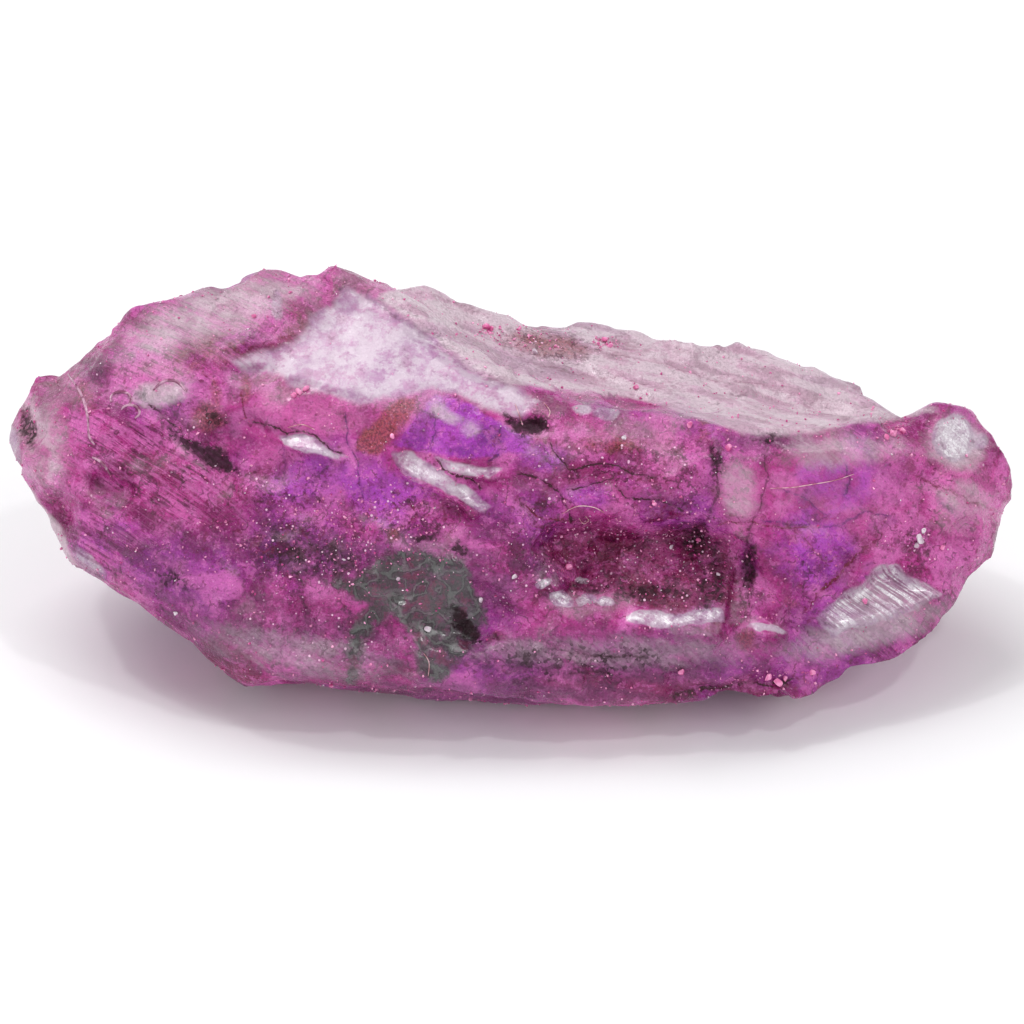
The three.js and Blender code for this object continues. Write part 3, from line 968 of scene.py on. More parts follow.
UNDER_SHAPES: tuple[Mark, ...] = (
    Ledge(((-12.0, 1.2), (-6.0, 2.0), (0.0, 1.2), (6.0, 1.8)), 0.3, 1.6),
    Crack(((7.0, 4.6), (8.2, 1.6), (7.4, -1.4), (8.6, -4.2)), 0.2, 0.2),
    Crack(((-8.0, 4.0), (-6.6, 0.8), (-8.2, -2.6)), 0.16, 0.15),
    Crack(((-6.6, 0.8), (-2.4, -1.2), (2.6, -2.0)), 0.14, 0.1, Tint.CRIMSON),
)

UNDER_STAINS: tuple[Stain, ...] = (
    # Painted shade over the underside.
    Stain(Tint.MURK, (Blot((0.0, 0.0), (17.0, 4.0), 0, 0.8),)),
    Stain(Tint.CRIMSON, (Blot((8.0, 1.6), (3.0, 1.6), 0, 0.7), Blot((-8.4, -1.6), (2.6, 1.4), 0, 0.7))),
    Stain(Tint.INDIGO, (Blot((-2.0, 2.4), (3.0, 1.2), 0, 0.6),)),
    Stain(Tint.RUST, (Blot((3.6, -2.4), (1.6, 0.9), 0, 0.7), Blot((-12.0, 1.0), (1.4, 0.8), 0, 0.6))),
    Stain(Tint.CRUMBLY, (Blot((2.0, -1.0), (6.0, 2.4), 0, 0.8),)),
    Stain(Tint.GRAINED, (Blot((0.0, 0.0), (20.0, 6.0), 0, 0.7),)),
    Stain(Tint.GLASSY, (Blot((14.0, -1.0), (3.0, 1.6), 0, 0.5),)),
)


# ---- Shader tools ----


def srgb(red: int, green: int, blue: int) -> Colour:
    """A screen colour from 0 to 255 as the linear numbers that shaders take.

    Args:
        red: Its red.
        green: Its green.
        blue: Its blue.

    Returns:
        The colour.
    """
    parts = [channel / 255 for channel in (red, green, blue)]
    linear = [part / 12.92 if part <= 0.04045 else ((part + 0.055) / 1.055) ** 2.4 for part in parts]
    return (linear[0], linear[1], linear[2])


def maths_operator(operation: str, swapped: bool = False) -> Callable[[Value, Value | float], Value]:
    """Makes an arithmetic operator of `Value`.

    Args:
        operation: The Math node's operation.
        swapped: Whether the value on the left of the sign is the other one.

    Returns:
        The method.
    """

    def apply(value: Value, other: Value | float) -> Value:
        """Adds the Math node."""
        terms = (other, value) if swapped else (value, other)
        return value.book.maths(operation, *terms)

    return apply


class Value:
    """A number on a shader socket. Arithmetic on it adds Math nodes."""

    def __init__(self, book: ShaderBook, socket: bpy.types.NodeSocket) -> None:
        """Wraps a socket of a material's tree."""
        self.book = book
        self.socket = socket

    __add__ = __radd__ = maths_operator("ADD")
    __sub__, __rsub__ = maths_operator("SUBTRACT"), maths_operator("SUBTRACT", swapped=True)
    __mul__ = __rmul__ = maths_operator("MULTIPLY")

    def ramp(self, low: float, high: float) -> Value:
        """A smooth step from 0 at `low` to 1 at `high`; `low` may lie above `high`.

        Args:
            low: Where the step starts.
            high: Where it ends.

        Returns:
            The step.
        """
        flip = low > high
        node = self.book.add(
            "ShaderNodeMapRange",
            {"interpolation_type": "SMOOTHSTEP"},
            {"Value": self, "From Min": min(low, high), "From Max": max(low, high)},
        )
        step = Value(self.book, node.outputs["Result"])
        return 1 - step if flip else step

    def limit(self) -> Value:
        """The number held between 0 and 1."""
        return Value(self.book, self.book.add("ShaderNodeClamp", {}, {"Value": self}).outputs[0])


class ShaderBook:
    """Builds one material's tree. Places are read in millimetres of the object's own space."""

    def __init__(self, name: str) -> None:
        """Makes an empty material.

        Args:
            name: The material's name.
        """
        self.material = bpy.data.materials.new(name)
        self.material.use_nodes = True
        self.tree = self.material.node_tree
        self.tree.nodes.clear()
        metres = self.add("ShaderNodeTexCoord").outputs["Object"]
        self.place = self.vector("SCALE", metres, Scale=1 / MM)

    def add(
        self, kind: str, settings: dict[str, Any] | None = None, inputs: dict[str | int, Any] | None = None
    ) -> bpy.types.Node:
        """Adds a node.

        Args:
            kind: The node's type.
            settings: Its own settings, set first.
            inputs: What its sockets hold or are linked to, by name, identifier or number.

        Returns:
            The node.
        """
        node = self.tree.nodes.new(kind)
        for name, value in (settings or {}).items():
            setattr(node, name, value)
        for key, value in (inputs or {}).items():
            if isinstance(key, int):
                socket = node.inputs[key]
            else:
                socket = next(s for s in node.inputs if key in (s.identifier, s.name))
            source = value.socket if isinstance(value, Value) else value
            if isinstance(source, bpy.types.NodeSocket):
                self.tree.links.new(source, socket)
            elif socket.type == "RGBA":
                socket.default_value = (*source, 1)
            else:
                socket.default_value = source
        return node

    def maths(self, operation: str, *terms: Value | float) -> Value:
        """A Math node on one to three numbers."""
        node = self.add("ShaderNodeMath", {"operation": operation}, dict(enumerate(terms)))
        return Value(self, node.outputs[0])

    def vector(self, operation: str, *terms: Any, **sockets: Any) -> bpy.types.NodeSocket:
        """A Vector Math node, by its vector output."""
        inputs = {**dict(enumerate(terms)), **sockets}
        return self.add("ShaderNodeVectorMath", {"operation": operation}, inputs).outputs["Vector"]

    def mix(self, share: Value | float, first: Any, second: Any) -> bpy.types.NodeSocket:
        """Two colours mixed: `first` where `share` is 0, `second` where it is 1.

        Args:
            share: The second colour's share.
            first: The first colour.
            second: The second colour.

        Returns:
            The mixed colour.
        """
        inputs = {"Factor_Float": share, "A_Color": first, "B_Color": second}
        node = self.add("ShaderNodeMix", {"data_type": "RGBA"}, inputs)
        return next(s for s in node.outputs if s.identifier == "Result_Color")

    def layer(self, colour: Any, *coats: tuple[Value, Any]) -> bpy.types.NodeSocket:
        """Lays colours over one another.

        Args:
            colour: The lowest colour.
            *coats: What is laid over it, in order, each as its share from 0 to 1 and its colour.

        Returns:
            The colour that shows.
        """
        for share, coat in coats:
            colour = self.mix(share, colour, coat)
        return colour

    def noise(self, scale: float, detail: float = 3, roughness: float = 0.5, at: Any = None) -> Value:
        """Fractal noise from about 0 to 1.

        Args:
            scale: Features per millimetre.
            detail: How many octaves are added.
            roughness: How strong the finer octaves are.
            at: Where it is read, or the plain place.

        Returns:
            The noise.
        """
        inputs = {"Vector": at or self.place, "Scale": scale, "Detail": detail, "Roughness": roughness}
        return Value(self, self.add("ShaderNodeTexNoise", {}, inputs).outputs["Fac"])

    def crystals(self, scale: float, at: Any = None) -> tuple[Value, Value, Value]:
        """Small crystals packed side by side, each with one flat face.

        Args:
            scale: Crystals per millimetre.
            at: Where they are read, or the plain place.

        Returns:
            The distance from the crystal's middle in crystal widths, a number drawn by lot for each crystal
            from 0 to 1, and the height of its face in millimetres, sloping by up to about one half.
        """
        place = at or self.place
        node = self.add("ShaderNodeTexVoronoi", {}, {"Vector": place, "Scale": scale})
        lot = self.add("ShaderNodeSeparateXYZ", {}, {0: node.outputs["Color"]}).outputs["X"]
        slope = self.vector("SUBTRACT", node.outputs["Color"], (0.5, 0.5, 0.5))
        off = self.vector("SUBTRACT", place, node.outputs["Position"])
        face = self.add("ShaderNodeVectorMath", {"operation": "DOT_PRODUCT"}, {0: off, 1: slope})
        return Value(self, node.outputs["Distance"]), Value(self, lot), Value(self, face.outputs["Value"])

    def sheets(self, across: float, within: float) -> bpy.types.NodeSocket:
        """The place squeezed so that noise runs in sheets along the parting planes.

        Args:
            across: The sheets' thickness in millimetres.
            within: How far a feature runs inside a sheet, in millimetres.
        """
        normal = tuple(PARTING_NORMAL)
        dot = self.add("ShaderNodeVectorMath", {"operation": "DOT_PRODUCT"}, {0: self.place, 1: normal})
        depth = Value(self, dot.outputs["Value"]) * (1 / across - 1 / within)
        lift = self.vector("SCALE", normal, Scale=depth)
        return self.vector("MULTIPLY_ADD", self.place, (1 / within,) * 3, lift)

    def attribute(self, name: str) -> Value:
        """A number that the mesh carries."""
        node = self.add("ShaderNodeAttribute", {"attribute_name": name})
        return Value(self, node.outputs["Fac"])

    def up(self) -> Value:
        """How far the surface faces upwards, from -1 to 1.

        Returns:
            The number.
        """
        normal = self.add("ShaderNodeNewGeometry").outputs["Normal"]
        parts = self.add("ShaderNodeSeparateXYZ", {}, {0: normal})
        return Value(self, parts.outputs["Z"])

    def bump(self, height: Value) -> bpy.types.NodeSocket:
        """The normal of a surface with a height given in millimetres."""
        inputs = {"Height": height, "Distance": MM, "Strength": 1}
        return self.add("ShaderNodeBump", {}, inputs).outputs["Normal"]

    def finish(self, **sockets: Any) -> bpy.types.Material:
        """Ends the tree in a Principled shader.

        Args:
            **sockets: Its sockets, with underscores for spaces.

        Returns:
            The material.
        """
        inputs = {name.replace("_", " "): value for name, value in sockets.items()}
        shader = self.add("ShaderNodeBsdfPrincipled", {}, inputs)
        self.add("ShaderNodeOutputMaterial", {}, {"Surface": shader.outputs["BSDF"]})
        return self.material


Coats = tuple[tuple[Value, Any], ...]


class Reading:
    """What the corundum's finish reads at each place: noises, marks on the skin, and what they make."""

    def __init__(self, book: ShaderBook) -> None:
        """Sets the readings up.

        Args:
            book: The tree that they are read in.
        """
        self.book = book
        self.fine = book.noise(3.4, 2, 0.6)
        self.grit = book.noise(10, 1, 0.7)
        self.mottle = book.noise(1.2, 4, 0.72)
        self.streak = book.noise(1, 2, 0.7, at=book.sheets(0.17, 2.6))
        self.middle, self.lot, self.face = book.crystals(6.5)
        self.patchy = book.attribute("patchy")
        self.folds = book.attribute("ragged")
        self.grained = book.attribute(Tint.GRAINED.value)
        self.combed = book.attribute(Tint.COMBED.value)
        self.band = book.attribute("band") + 0.6 * (self.fine - 0.5)
        self.comb = 0.5 + 0.5 * book.attribute("comb") + 0.6 * (self.fine - 0.5)
        self.ragged = 0.5 + 0.3 * self.folds + 0.5 * (self.fine - 0.5)
        self.glassy = book.attribute(Tint.GLASSY.value).limit()
        self.matt = 1 - 0.8 * self.glassy
        self.crumbly = self.tint(Tint.CRUMBLY, self.mottle, 0.45) * self.matt
        # Pale dust and painted sheen.
        self.dust_and_sheen = self.tint(Tint.HAZE, 0.3 * self.streak + 0.3 * self.comb + 0.4 * self.mottle, 0.4)
        self.film = self.tint(Tint.FILM, self.ragged, 0.25)
        # Dark stains, and painted shade in hollows.
        self.dark_stain_and_shade = self.tint(Tint.NIGHT, self.mottle + 0.5 * (self.lot - 0.5), 0.35)
        self.rust = self.tint(Tint.RUST, self.mottle, 0.4) * 0.75
        crimson = self.tint(Tint.CRIMSON, self.ragged, 0.35) * 0.7 + self.line(Tint.CRIMSON)
        self.crimson = crimson.limit()
        self.wrinkles = book.maths("SINE", 8 * self.folds + 3 * self.fine)
        self.web = self.film * self.wrinkles.ramp(0.3, 0.95)

    def tint(self, tint: Tint, edge: Value, spread: float) -> Value:
        """A drawn tint with a ragged edge.

        Args:
            tint: Which tint.
            edge: Noise about 0.5 that breaks the edge up.
            spread: How softly the tint ends.

        Returns:
            The tint's share, from 0 to 1.
        """
        drawn = self.book.attribute(tint.value) + (edge - 0.5) * 1.1
        return drawn.ramp(0.5 - spread, 0.5 + spread)

    def line(self, tint: Tint) -> Value:
        """The share, from 0 to 1, of a thin drawn line that wavers and comes and goes.

        Args:
            tint: Which line.

        Returns:
            The line's share.
        """
        strayed = self.book.attribute(f"{tint.value}_line") + (self.fine - 0.5) * 1.8
        away = self.book.maths("ABSOLUTE", strayed)
        broken = (0.7 * self.mottle + 0.3 * self.fine).ramp(0.42, 0.54)
        core = away.ramp(0.36, 0.12) * (0.2 + 0.8 * broken)
        return self.book.attribute(f"{tint.value}_near") * (core + 0.3 * away.ramp(1.4, 0.2)).limit()

    def veins(self) -> Value:
        """Thin dark veins that wander through the crystal and come and go.

        Returns:
            Their share, from 0 to 1.
        """
        wander = (self.fine - 0.5) * 0.5
        long = self.book.maths("ABSOLUTE", self.book.attribute("cloud") + wander).ramp(0.07, 0.02)
        short = self.book.maths("ABSOLUTE", self.folds + wander).ramp(0.08, 0.02)
        seen = (self.patchy + 2 * self.mottle - 1).ramp(0.0, 0.35)
        return (long * seen + short * self.mottle.ramp(0.5, 0.4) * (1 - seen)).limit()

    def joints(self) -> Value:
        """The dark joints between the small blocks that the skin is broken into.

        Returns:
            Their share, from 0 to 1.
        """
        seen = (self.patchy + self.fine).ramp(0.45, 0.75)
        waver = (self.fine - 0.5) * 0.4
        wide = (self.book.attribute("block_edge") + waver).ramp(0.14, 0.0)
        thin = (self.book.attribute("flake_edge") + waver).ramp(0.09, 0.0)
        return (wide + 0.7 * thin).limit() * seen


@dataclass(frozen=True)
class CorundumFinish:
    """Broken magenta corundum: waxy and cloudy, with cracks, stains and films, painted shade in its hollows
    and low down, and a painted pale sheen and painted highlights.
    """

    magenta: Colour = srgb(184, 52, 138)
    purple: Colour = srgb(164, 56, 156)
    bright: Colour = srgb(224, 116, 192)
    deep: Colour = srgb(96, 7, 65)
    violet: Colour = srgb(176, 60, 196)
    indigo: Colour = srgb(76, 20, 98)
    rose: Colour = srgb(220, 100, 176)
    crimson: Colour = srgb(112, 5, 52)
    rust: Colour = srgb(170, 78, 76)
    soot: Colour = srgb(92, 46, 36)
    # The pale breaks, and in white their painted highlights and reflections.
    pale: Colour = srgb(198, 180, 196)
    lilac: Colour = srgb(164, 116, 160)
    white: Colour = srgb(254, 248, 254)
    # Pale dust and painted sheen.
    dust_and_sheen: Colour = srgb(216, 192, 205)
    film: Colour = srgb(44, 48, 46)
    # Lighter film wrinkles, partly a painted highlight.
    wrinkle: Colour = srgb(128, 134, 130)
    # Painted shade.
    painted_shade: Colour = srgb(112, 58, 104)
    # Dark stains, and painted shade in hollows.
    dark_stain_and_shade: Colour = srgb(32, 5, 15)
    soot_red: Colour = srgb(56, 1, 25)
    glint: Colour = srgb(255, 206, 236)

    def build(self) -> bpy.types.Material:
        """Makes the material.

        Returns:
            The material.
        """
        book = ShaderBook("corundum")
        read = Reading(book)
        colour = self.clouds(book)
        for coats in (self.depths, self.grain, self.veil, self.breaks, self.films, self.specks):
            colour = book.layer(colour, *coats(read))
        roughness = 0.15 + 0.25 * read.fine.ramp(0.35, 0.65) + 0.2 * read.dust_and_sheen + 0.3 * read.dark_stain_and_shade
        height = read.matt * (0.26 * read.mottle + 0.06 * read.fine + 0.6 * read.face)
        height = height + 0.16 * (read.grained * read.streak + read.combed * read.comb) + 0.1 * read.web
        gloss = 0.1 + 0.8 * read.glassy + 0.8 * read.film + 0.3 * read.dust_and_sheen - read.dark_stain_and_shade
        return book.finish(
            Base_Color=colour,
            Roughness=roughness.limit(),
            Normal=book.bump(height),
            IOR=1.38,
            Coat_Weight=gloss.limit(),
            Coat_Roughness=0.2,
            Coat_IOR=1.6,
        )

    def clouds(self, book: ShaderBook) -> bpy.types.NodeSocket:
        """The colour in the depth of the crystal, before any mark.

        Args:
            book: The tree.

        Returns:
            The colour.
        """
        cloud = book.attribute("cloud") + 0.35 * book.attribute("tone")
        colour = book.mix(book.attribute("broad").ramp(-0.1, 0.5), self.magenta, self.purple)
        return book.layer(
            colour, (cloud.ramp(0.04, 0.34) * 0.6, self.bright), (cloud.ramp(-0.05, -0.55) * 0.6, self.deep)
        )

    def depths(self, read: Reading) -> Coats:
        """The drawn colours that lie in the crystal; the crimson of the pocket, and the crimson and indigo of
        the long blots low on the front, are partly painted shade.

        Args:
            read: What is read at each place.

        Returns:
            The coats, lowest first.
        """
        indigo = read.tint(Tint.INDIGO, read.ragged, 0.4) * 0.55 + read.line(Tint.INDIGO) * 0.8
        return (
            (read.tint(Tint.ROSE, read.ragged, 0.4) * 0.7, self.rose),
            (read.tint(Tint.VIOLET, read.ragged, 0.35) * 0.8, self.violet),
            (indigo.limit(), self.indigo),
            (read.crimson, self.crimson),
        )

    def grain(self, read: Reading) -> Coats:
        """The dirt and light of the broken skin, its parting streaks, its veins and joints, and the rust.

        Args:
            read: What is read at each place.

        Returns:
            The coats, lowest first.
        """
        dirt = (0.45 + 0.6 * read.crumbly + 0.4 * read.patchy).limit() * read.matt
        banded = (0.3 + 0.7 * read.grained) * read.matt
        marred = 0.3 + 0.6 * read.mottle.ramp(0.44, 0.56)
        clear = 1 - read.glassy
        stained = read.book.mix(read.grit.ramp(0.42, 0.58) * 0.8, self.rust, self.soot)
        return (
            (read.mottle.ramp(0.53, 0.6) * dirt * 0.75, self.deep),
            (read.mottle.ramp(0.46, 0.4) * read.matt * 0.4, self.bright),
            (read.grit.ramp(0.56, 0.64) * dirt * 0.5, self.crimson),
            (banded * read.band.ramp(0.08, 0.3) * 0.65, self.deep),
            (banded * read.band.ramp(-0.08, -0.3) * 0.4, self.bright),
            (read.grained * read.streak.ramp(0.53, 0.57) * marred, self.deep),
            (read.grained * read.streak.ramp(0.45, 0.41) * 0.35, self.bright),
            (read.fine.ramp(0.61, 0.66) * read.matt * 0.5, self.crimson),
            (read.fine.ramp(0.4, 0.34) * read.matt * 0.3, self.bright),
            (read.combed * read.comb.ramp(0.54, 0.66) * 0.5, self.deep),
            (read.veins() * clear * 0.6, self.soot_red),
            (read.joints() * clear * (1 - 0.5 * read.grained) * 0.7, self.crimson),
            (read.rust, stained),
        )

    def veil(self, read: Reading) -> Coats:
        """Painted shade that darkens the stone low down and under edges, and the pale dust and painted sheen
        that lie over it and over what faces up.

        Args:
            read: What is read at each place.

        Returns:
            The coats, lowest first.
        """
        # Painted shade, darker low on the stone and under edges.
        painted_shade = read.tint(Tint.MURK, 0.5 * read.mottle + 0.5 * read.comb, 0.4)
        # Painted sheen on whatever faces up.
        painted_top_sheen = read.book.up().ramp(0.5, 0.95) * (read.patchy + read.mottle).ramp(0.2, 0.8)
        # Drawn pale dust and painted sheen, streaked where combed.
        drawn = read.dust_and_sheen * (0.6 + 0.45 * read.combed * read.comb.ramp(0.7, 0.35) + 0.25 * (1 - read.combed))
        veil = drawn + painted_top_sheen * 0.25 * (1 - read.dust_and_sheen) * (1 - read.crimson)
        veil = veil * (1 - 0.8 * read.rust) * (1 - 0.5 * read.crimson)
        return ((painted_shade * 0.6, self.painted_shade), (veil.limit(), self.dust_and_sheen))

    def breaks(self, read: Reading) -> Coats:
        """The pale colour of the fresh breaks and ledges, and the painted highlights and painted reflections
        on them, whitest where they are drawn strongest.

        Args:
            read: What is read at each place.

        Returns:
            The coats, lowest first.
        """
        torn = 0.4 * read.ragged + 0.6 * read.mottle
        pale = read.tint(Tint.PALE, torn, 0.22) * (0.55 + 0.35 * read.mottle.ramp(0.66, 0.46))
        pale = pale * (1 - 0.6 * read.grained * read.streak.ramp(0.48, 0.56))
        clouded = (0.6 * read.mottle + 0.4 * read.ragged).ramp(0.44, 0.6) * 0.8
        # Painted highlight and reflection: white where the pale tint is drawn above 1.
        white = (read.book.attribute(Tint.PALE.value) - 1 + 0.8 * (read.fine - 0.5)).ramp(-0.1, 0.4)
        white = white * (1 - 0.6 * read.grit.ramp(0.5, 0.62))
        white = white * (1 - (0.5 + 0.4 * read.grained) * read.streak.ramp(0.44, 0.54))
        white = white * (0.4 + 0.6 * read.mottle.ramp(0.56, 0.46))
        return ((pale, read.book.mix(clouded, self.pale, self.lilac)), (white, self.white))

    def films(self, read: Reading) -> Coats:
        """The grey-green wrinkled film, whose lighter wrinkles are partly a painted highlight.

        Args:
            read: What is read at each place.

        Returns:
            The coats, lowest first.
        """
        holes = read.wrinkles.ramp(-0.3, -0.8) * read.mottle.ramp(0.48, 0.56)
        return (
            (read.film * (0.6 + 0.3 * read.mottle.ramp(0.58, 0.46)), self.film),
            (read.film * holes * 0.4, self.crimson),
            # Lighter wrinkles, partly a painted highlight.
            (read.web * 0.3, self.wrinkle),
        )

    def specks(self, read: Reading) -> Coats:
        """The open cracks, dark stains and the painted shade of hollows, the sooty crumbs, and painted glints
        of small crystals.

        Args:
            read: What is read at each place.

        Returns:
            The coats, lowest first.
        """
        sooty = read.crumbly * (read.lot + 0.8 * read.grit).ramp(0.72, 0.55)
        sown = (read.fine + 0.5 * read.crumbly + 0.3 * read.patchy).ramp(0.5, 0.8) * read.matt
        glints = (read.middle + 4 * (1 - read.lot)).ramp(0.52, 0.36) * sown * (1 - read.film)
        return (
            (read.line(Tint.CRACK) * 0.95, self.soot_red),
            # Dark stains, and painted shade in hollows.
            (read.dark_stain_and_shade * 0.9, self.dark_stain_and_shade),
            (sooty * 0.5, self.soot_red),
            (glints * 0.8, self.glint),
        )


@dataclass(frozen=True)
class GrainFinish:
    """Loose grains of one colour, a little different from grain to grain."""

    name: str
    light: Colour
    dark: Colour
    roughness: float = 0.35

    def build(self) -> bpy.types.Material:
        """Makes the material.

        Returns:
            The material.
        """
        book = ShaderBook(self.name)
        colour = book.mix(book.noise(2.5, 2).ramp(0.35, 0.65), self.light, self.dark)
        height = 0.02 * book.noise(12, 2)
        return book.finish(
            Base_Color=colour,
            Roughness=(self.roughness + 0.1 * book.noise(4, 2)).limit(),
            Normal=book.bump(height),
            IOR=1.77,
        )


@dataclass(frozen=True)
class FibreFinish:
    """Thin strands of one colour: dust fibres, or the rims of curled flakes, whose pale colour is partly a
    painted highlight.
    """

    name: str
    light: Colour
    dark: Colour
    roughness: float = 0.5

    def build(self) -> bpy.types.Material:
        """Makes the material.

        Returns:
            The material.
        """
        book = ShaderBook(self.name)
        colour = book.mix(book.noise(2.5, 2).ramp(0.4, 0.6), self.light, self.dark)
        return book.finish(Base_Color=colour, Roughness=self.roughness, IOR=1.6)


@dataclass(frozen=True)
class FloorFinish:
    """The plain white floor."""

    colour: Colour = srgb(247, 248, 249)

    def build(self) -> bpy.types.Material:
        """Makes the material."""
        book = ShaderBook("white_floor")
        return book.finish(Base_Color=self.colour, Roughness=0.6, Specular_IOR_Level=0.2)


# ---- Pieces ----


def select_only(piece: bpy.types.Object) -> None:
    """Deselects everything else and makes a piece the active one.

    Args:
        piece: The piece.
    """
    bpy.ops.object.select_all(action="DESELECT")
    piece.select_set(True)
    bpy.context.view_layer.objects.active = piece


def apply_modifier(piece: bpy.types.Object, kind: str, **settings: Any) -> None:
    """Adds a modifier to a piece, sets it and applies it.

    Args:
        piece: The piece.
        kind: The modifier's type.
        **settings: Its settings.
    """
    select_only(piece)
    modifier = piece.modifiers.new(kind.lower(), kind)
    for name, value in settings.items():
        setattr(modifier, name, value)
    bpy.ops.object.modifier_apply(modifier=modifier.name)


@dataclass(frozen=True)
class Drawing:
    """Everything drawn on one side: what is cut into the skin, then what is laid over it."""

    side: Side
    shapes: tuple[Mark, ...]
    stains: tuple[Stain, ...]

    def cut(self, skin: Skin) -> None:
        """Cuts every shape, one after another.

        Args:
            skin: The skin.
        """
        for shape in self.shapes:
            shape.cut(skin, self.side, skin.drawn(self.side))
            skin.save()

    def lay(self, skin: Skin) -> None:
        """Lays every stain and marks every crack.

        Args:
            skin: The skin.
        """
        flat = skin.drawn(self.side)
        for stain in self.stains:
            stain.lay(skin, self.side, flat)
        for shape in self.shapes:
            if isinstance(shape, Crack):
                shape.mark(skin, self.side, flat)

    def stain(self, tint: Tint, flat: np.ndarray) -> np.ndarray:
        """How strongly one tint covers places on the board."""
        covers = [shape.cover(flat) for stain in self.stains if stain.tint is tint for shape in stain.shapes]
        return np.clip(np.max(covers, axis=0), 0, 1)

    def cover(self, skin: Skin, tint: Tint) -> np.ndarray:
        """How strongly one tint covers each point of the skin."""
        return self.stain(tint, skin.drawn(self.side)) * self.side.shown(skin.normals)


FRONT_DRAWING = Drawing(FRONT, FRONT_SHAPES, FRONT_STAINS)
DRAWINGS = (
    FRONT_DRAWING,
    Drawing(BACK, BACK_SHAPES, BACK_STAINS),
    Drawing(UNDERSIDE, UNDER_SHAPES, UNDER_STAINS),
)


def glassy_cover(skin: Skin) -> np.ndarray:
    """How glassy each point of the skin is, over all drawings."""
    return np.max([drawing.cover(skin, Tint.GLASSY) for drawing in DRAWINGS], axis=0)


class Blocks:
    """Flat-faced blocks that the skin is broken into. Each is the part of the skin nearest to one seed."""

    STRAY = 0.35
    TURN = 0.8
    SINK_MM = 0.22
    RISE_MM = 0.3
    BATCHES = 200

    def __init__(self, skin: Skin, name: str, spacing: float, seed: int) -> None:
        """Strews the seeds.

        Args:
            skin: The skin.
            name: What the blocks are called in the marks.
            spacing: The blocks' size in millimetres.
            seed: Chooses the pattern.
        """
        self.name = name
        self.spacing = spacing
        self.wobble = [Grain(seed + k) for k in range(3)]
        draw = np.random.default_rng(seed)
        places = self.places(skin)
        count = int(SKIN_AREA_MM2 / spacing**2)
        self.seeds = places[draw.choice(len(places), count, replace=False)]
        self.tones = draw.uniform(-0.6, 0.6, count)

    def places(self, skin: Skin) -> np.ndarray:
        """What tells two bits of skin apart: where they lie, pushed about a little, and where they face.

        Args:
            skin: The skin.

        Returns:
            The places, one a row, each of six numbers.
        """
        waver = np.stack([grain.layered(skin.points / self.spacing, 2) for grain in self.wobble], axis=1)
        strayed = skin.points + waver * self.spacing * self.STRAY
        return np.hstack((strayed, skin.normals * self.spacing * self.TURN))

    def sort(self, skin: Skin) -> tuple[np.ndarray, np.ndarray]:
        """Finds each point's block and how far it lies from the block's edge, in millimetres.

        Args:
            skin: The skin.

        Returns:
            The block's number and the distance to its edge, for each point.
        """
        places = self.places(skin)
        block, edge = np.empty(len(places), dtype=np.int64), np.empty(len(places))
        seeds = self.seeds.astype(np.float32)
        for part in np.array_split(np.arange(len(places)), self.BATCHES):
            here = places[part].astype(np.float32)
            square = (seeds**2).sum(axis=1) - 2 * here @ seeds.T + (here**2).sum(axis=1)[:, None]
            rows = np.arange(len(part))
            block[part] = square.argmin(axis=1)
            nearest = np.sqrt(square[rows, block[part]].clip(0))
            square[rows, block[part]] = np.inf
            edge[part] = np.sqrt(square.min(axis=1)) - nearest
        return block, edge

    def flatten(self, skin: Skin, share: np.ndarray) -> None:
        """Brings each block's skin towards one plane.

        Args:
            skin: The skin.
            share: How far each point goes, from 0 to 1.
        """
        block, _ = self.sort(skin)
        count = len(self.seeds)
        size = np.bincount(block, minlength=count).clip(1)
        middle, facing = (
            np.stack([np.bincount(block, column, count) for column in rows.T], axis=1) / size[:, None]
            for rows in (skin.points, skin.normals)
        )
        facing /= np.linalg.norm(facing, axis=1, keepdims=True).clip(1e-9)
        proud = np.einsum("ij,ij->i", skin.points - middle[block], facing[block])
        skin.points -= facing[block] * np.clip(proud * share, -self.SINK_MM, self.RISE_MM)[:, None]
        skin.save()

    def mark(self, skin: Skin) -> None:
        """Marks the blocks' edges and each block's own tone.

        Args:
            skin: The skin.
        """
        block, edge = self.sort(skin)
        skin.tints[f"{self.name}_edge"] = edge
        skin.tints["tone"] = skin.tints.get("tone", 0) + self.tones[block]


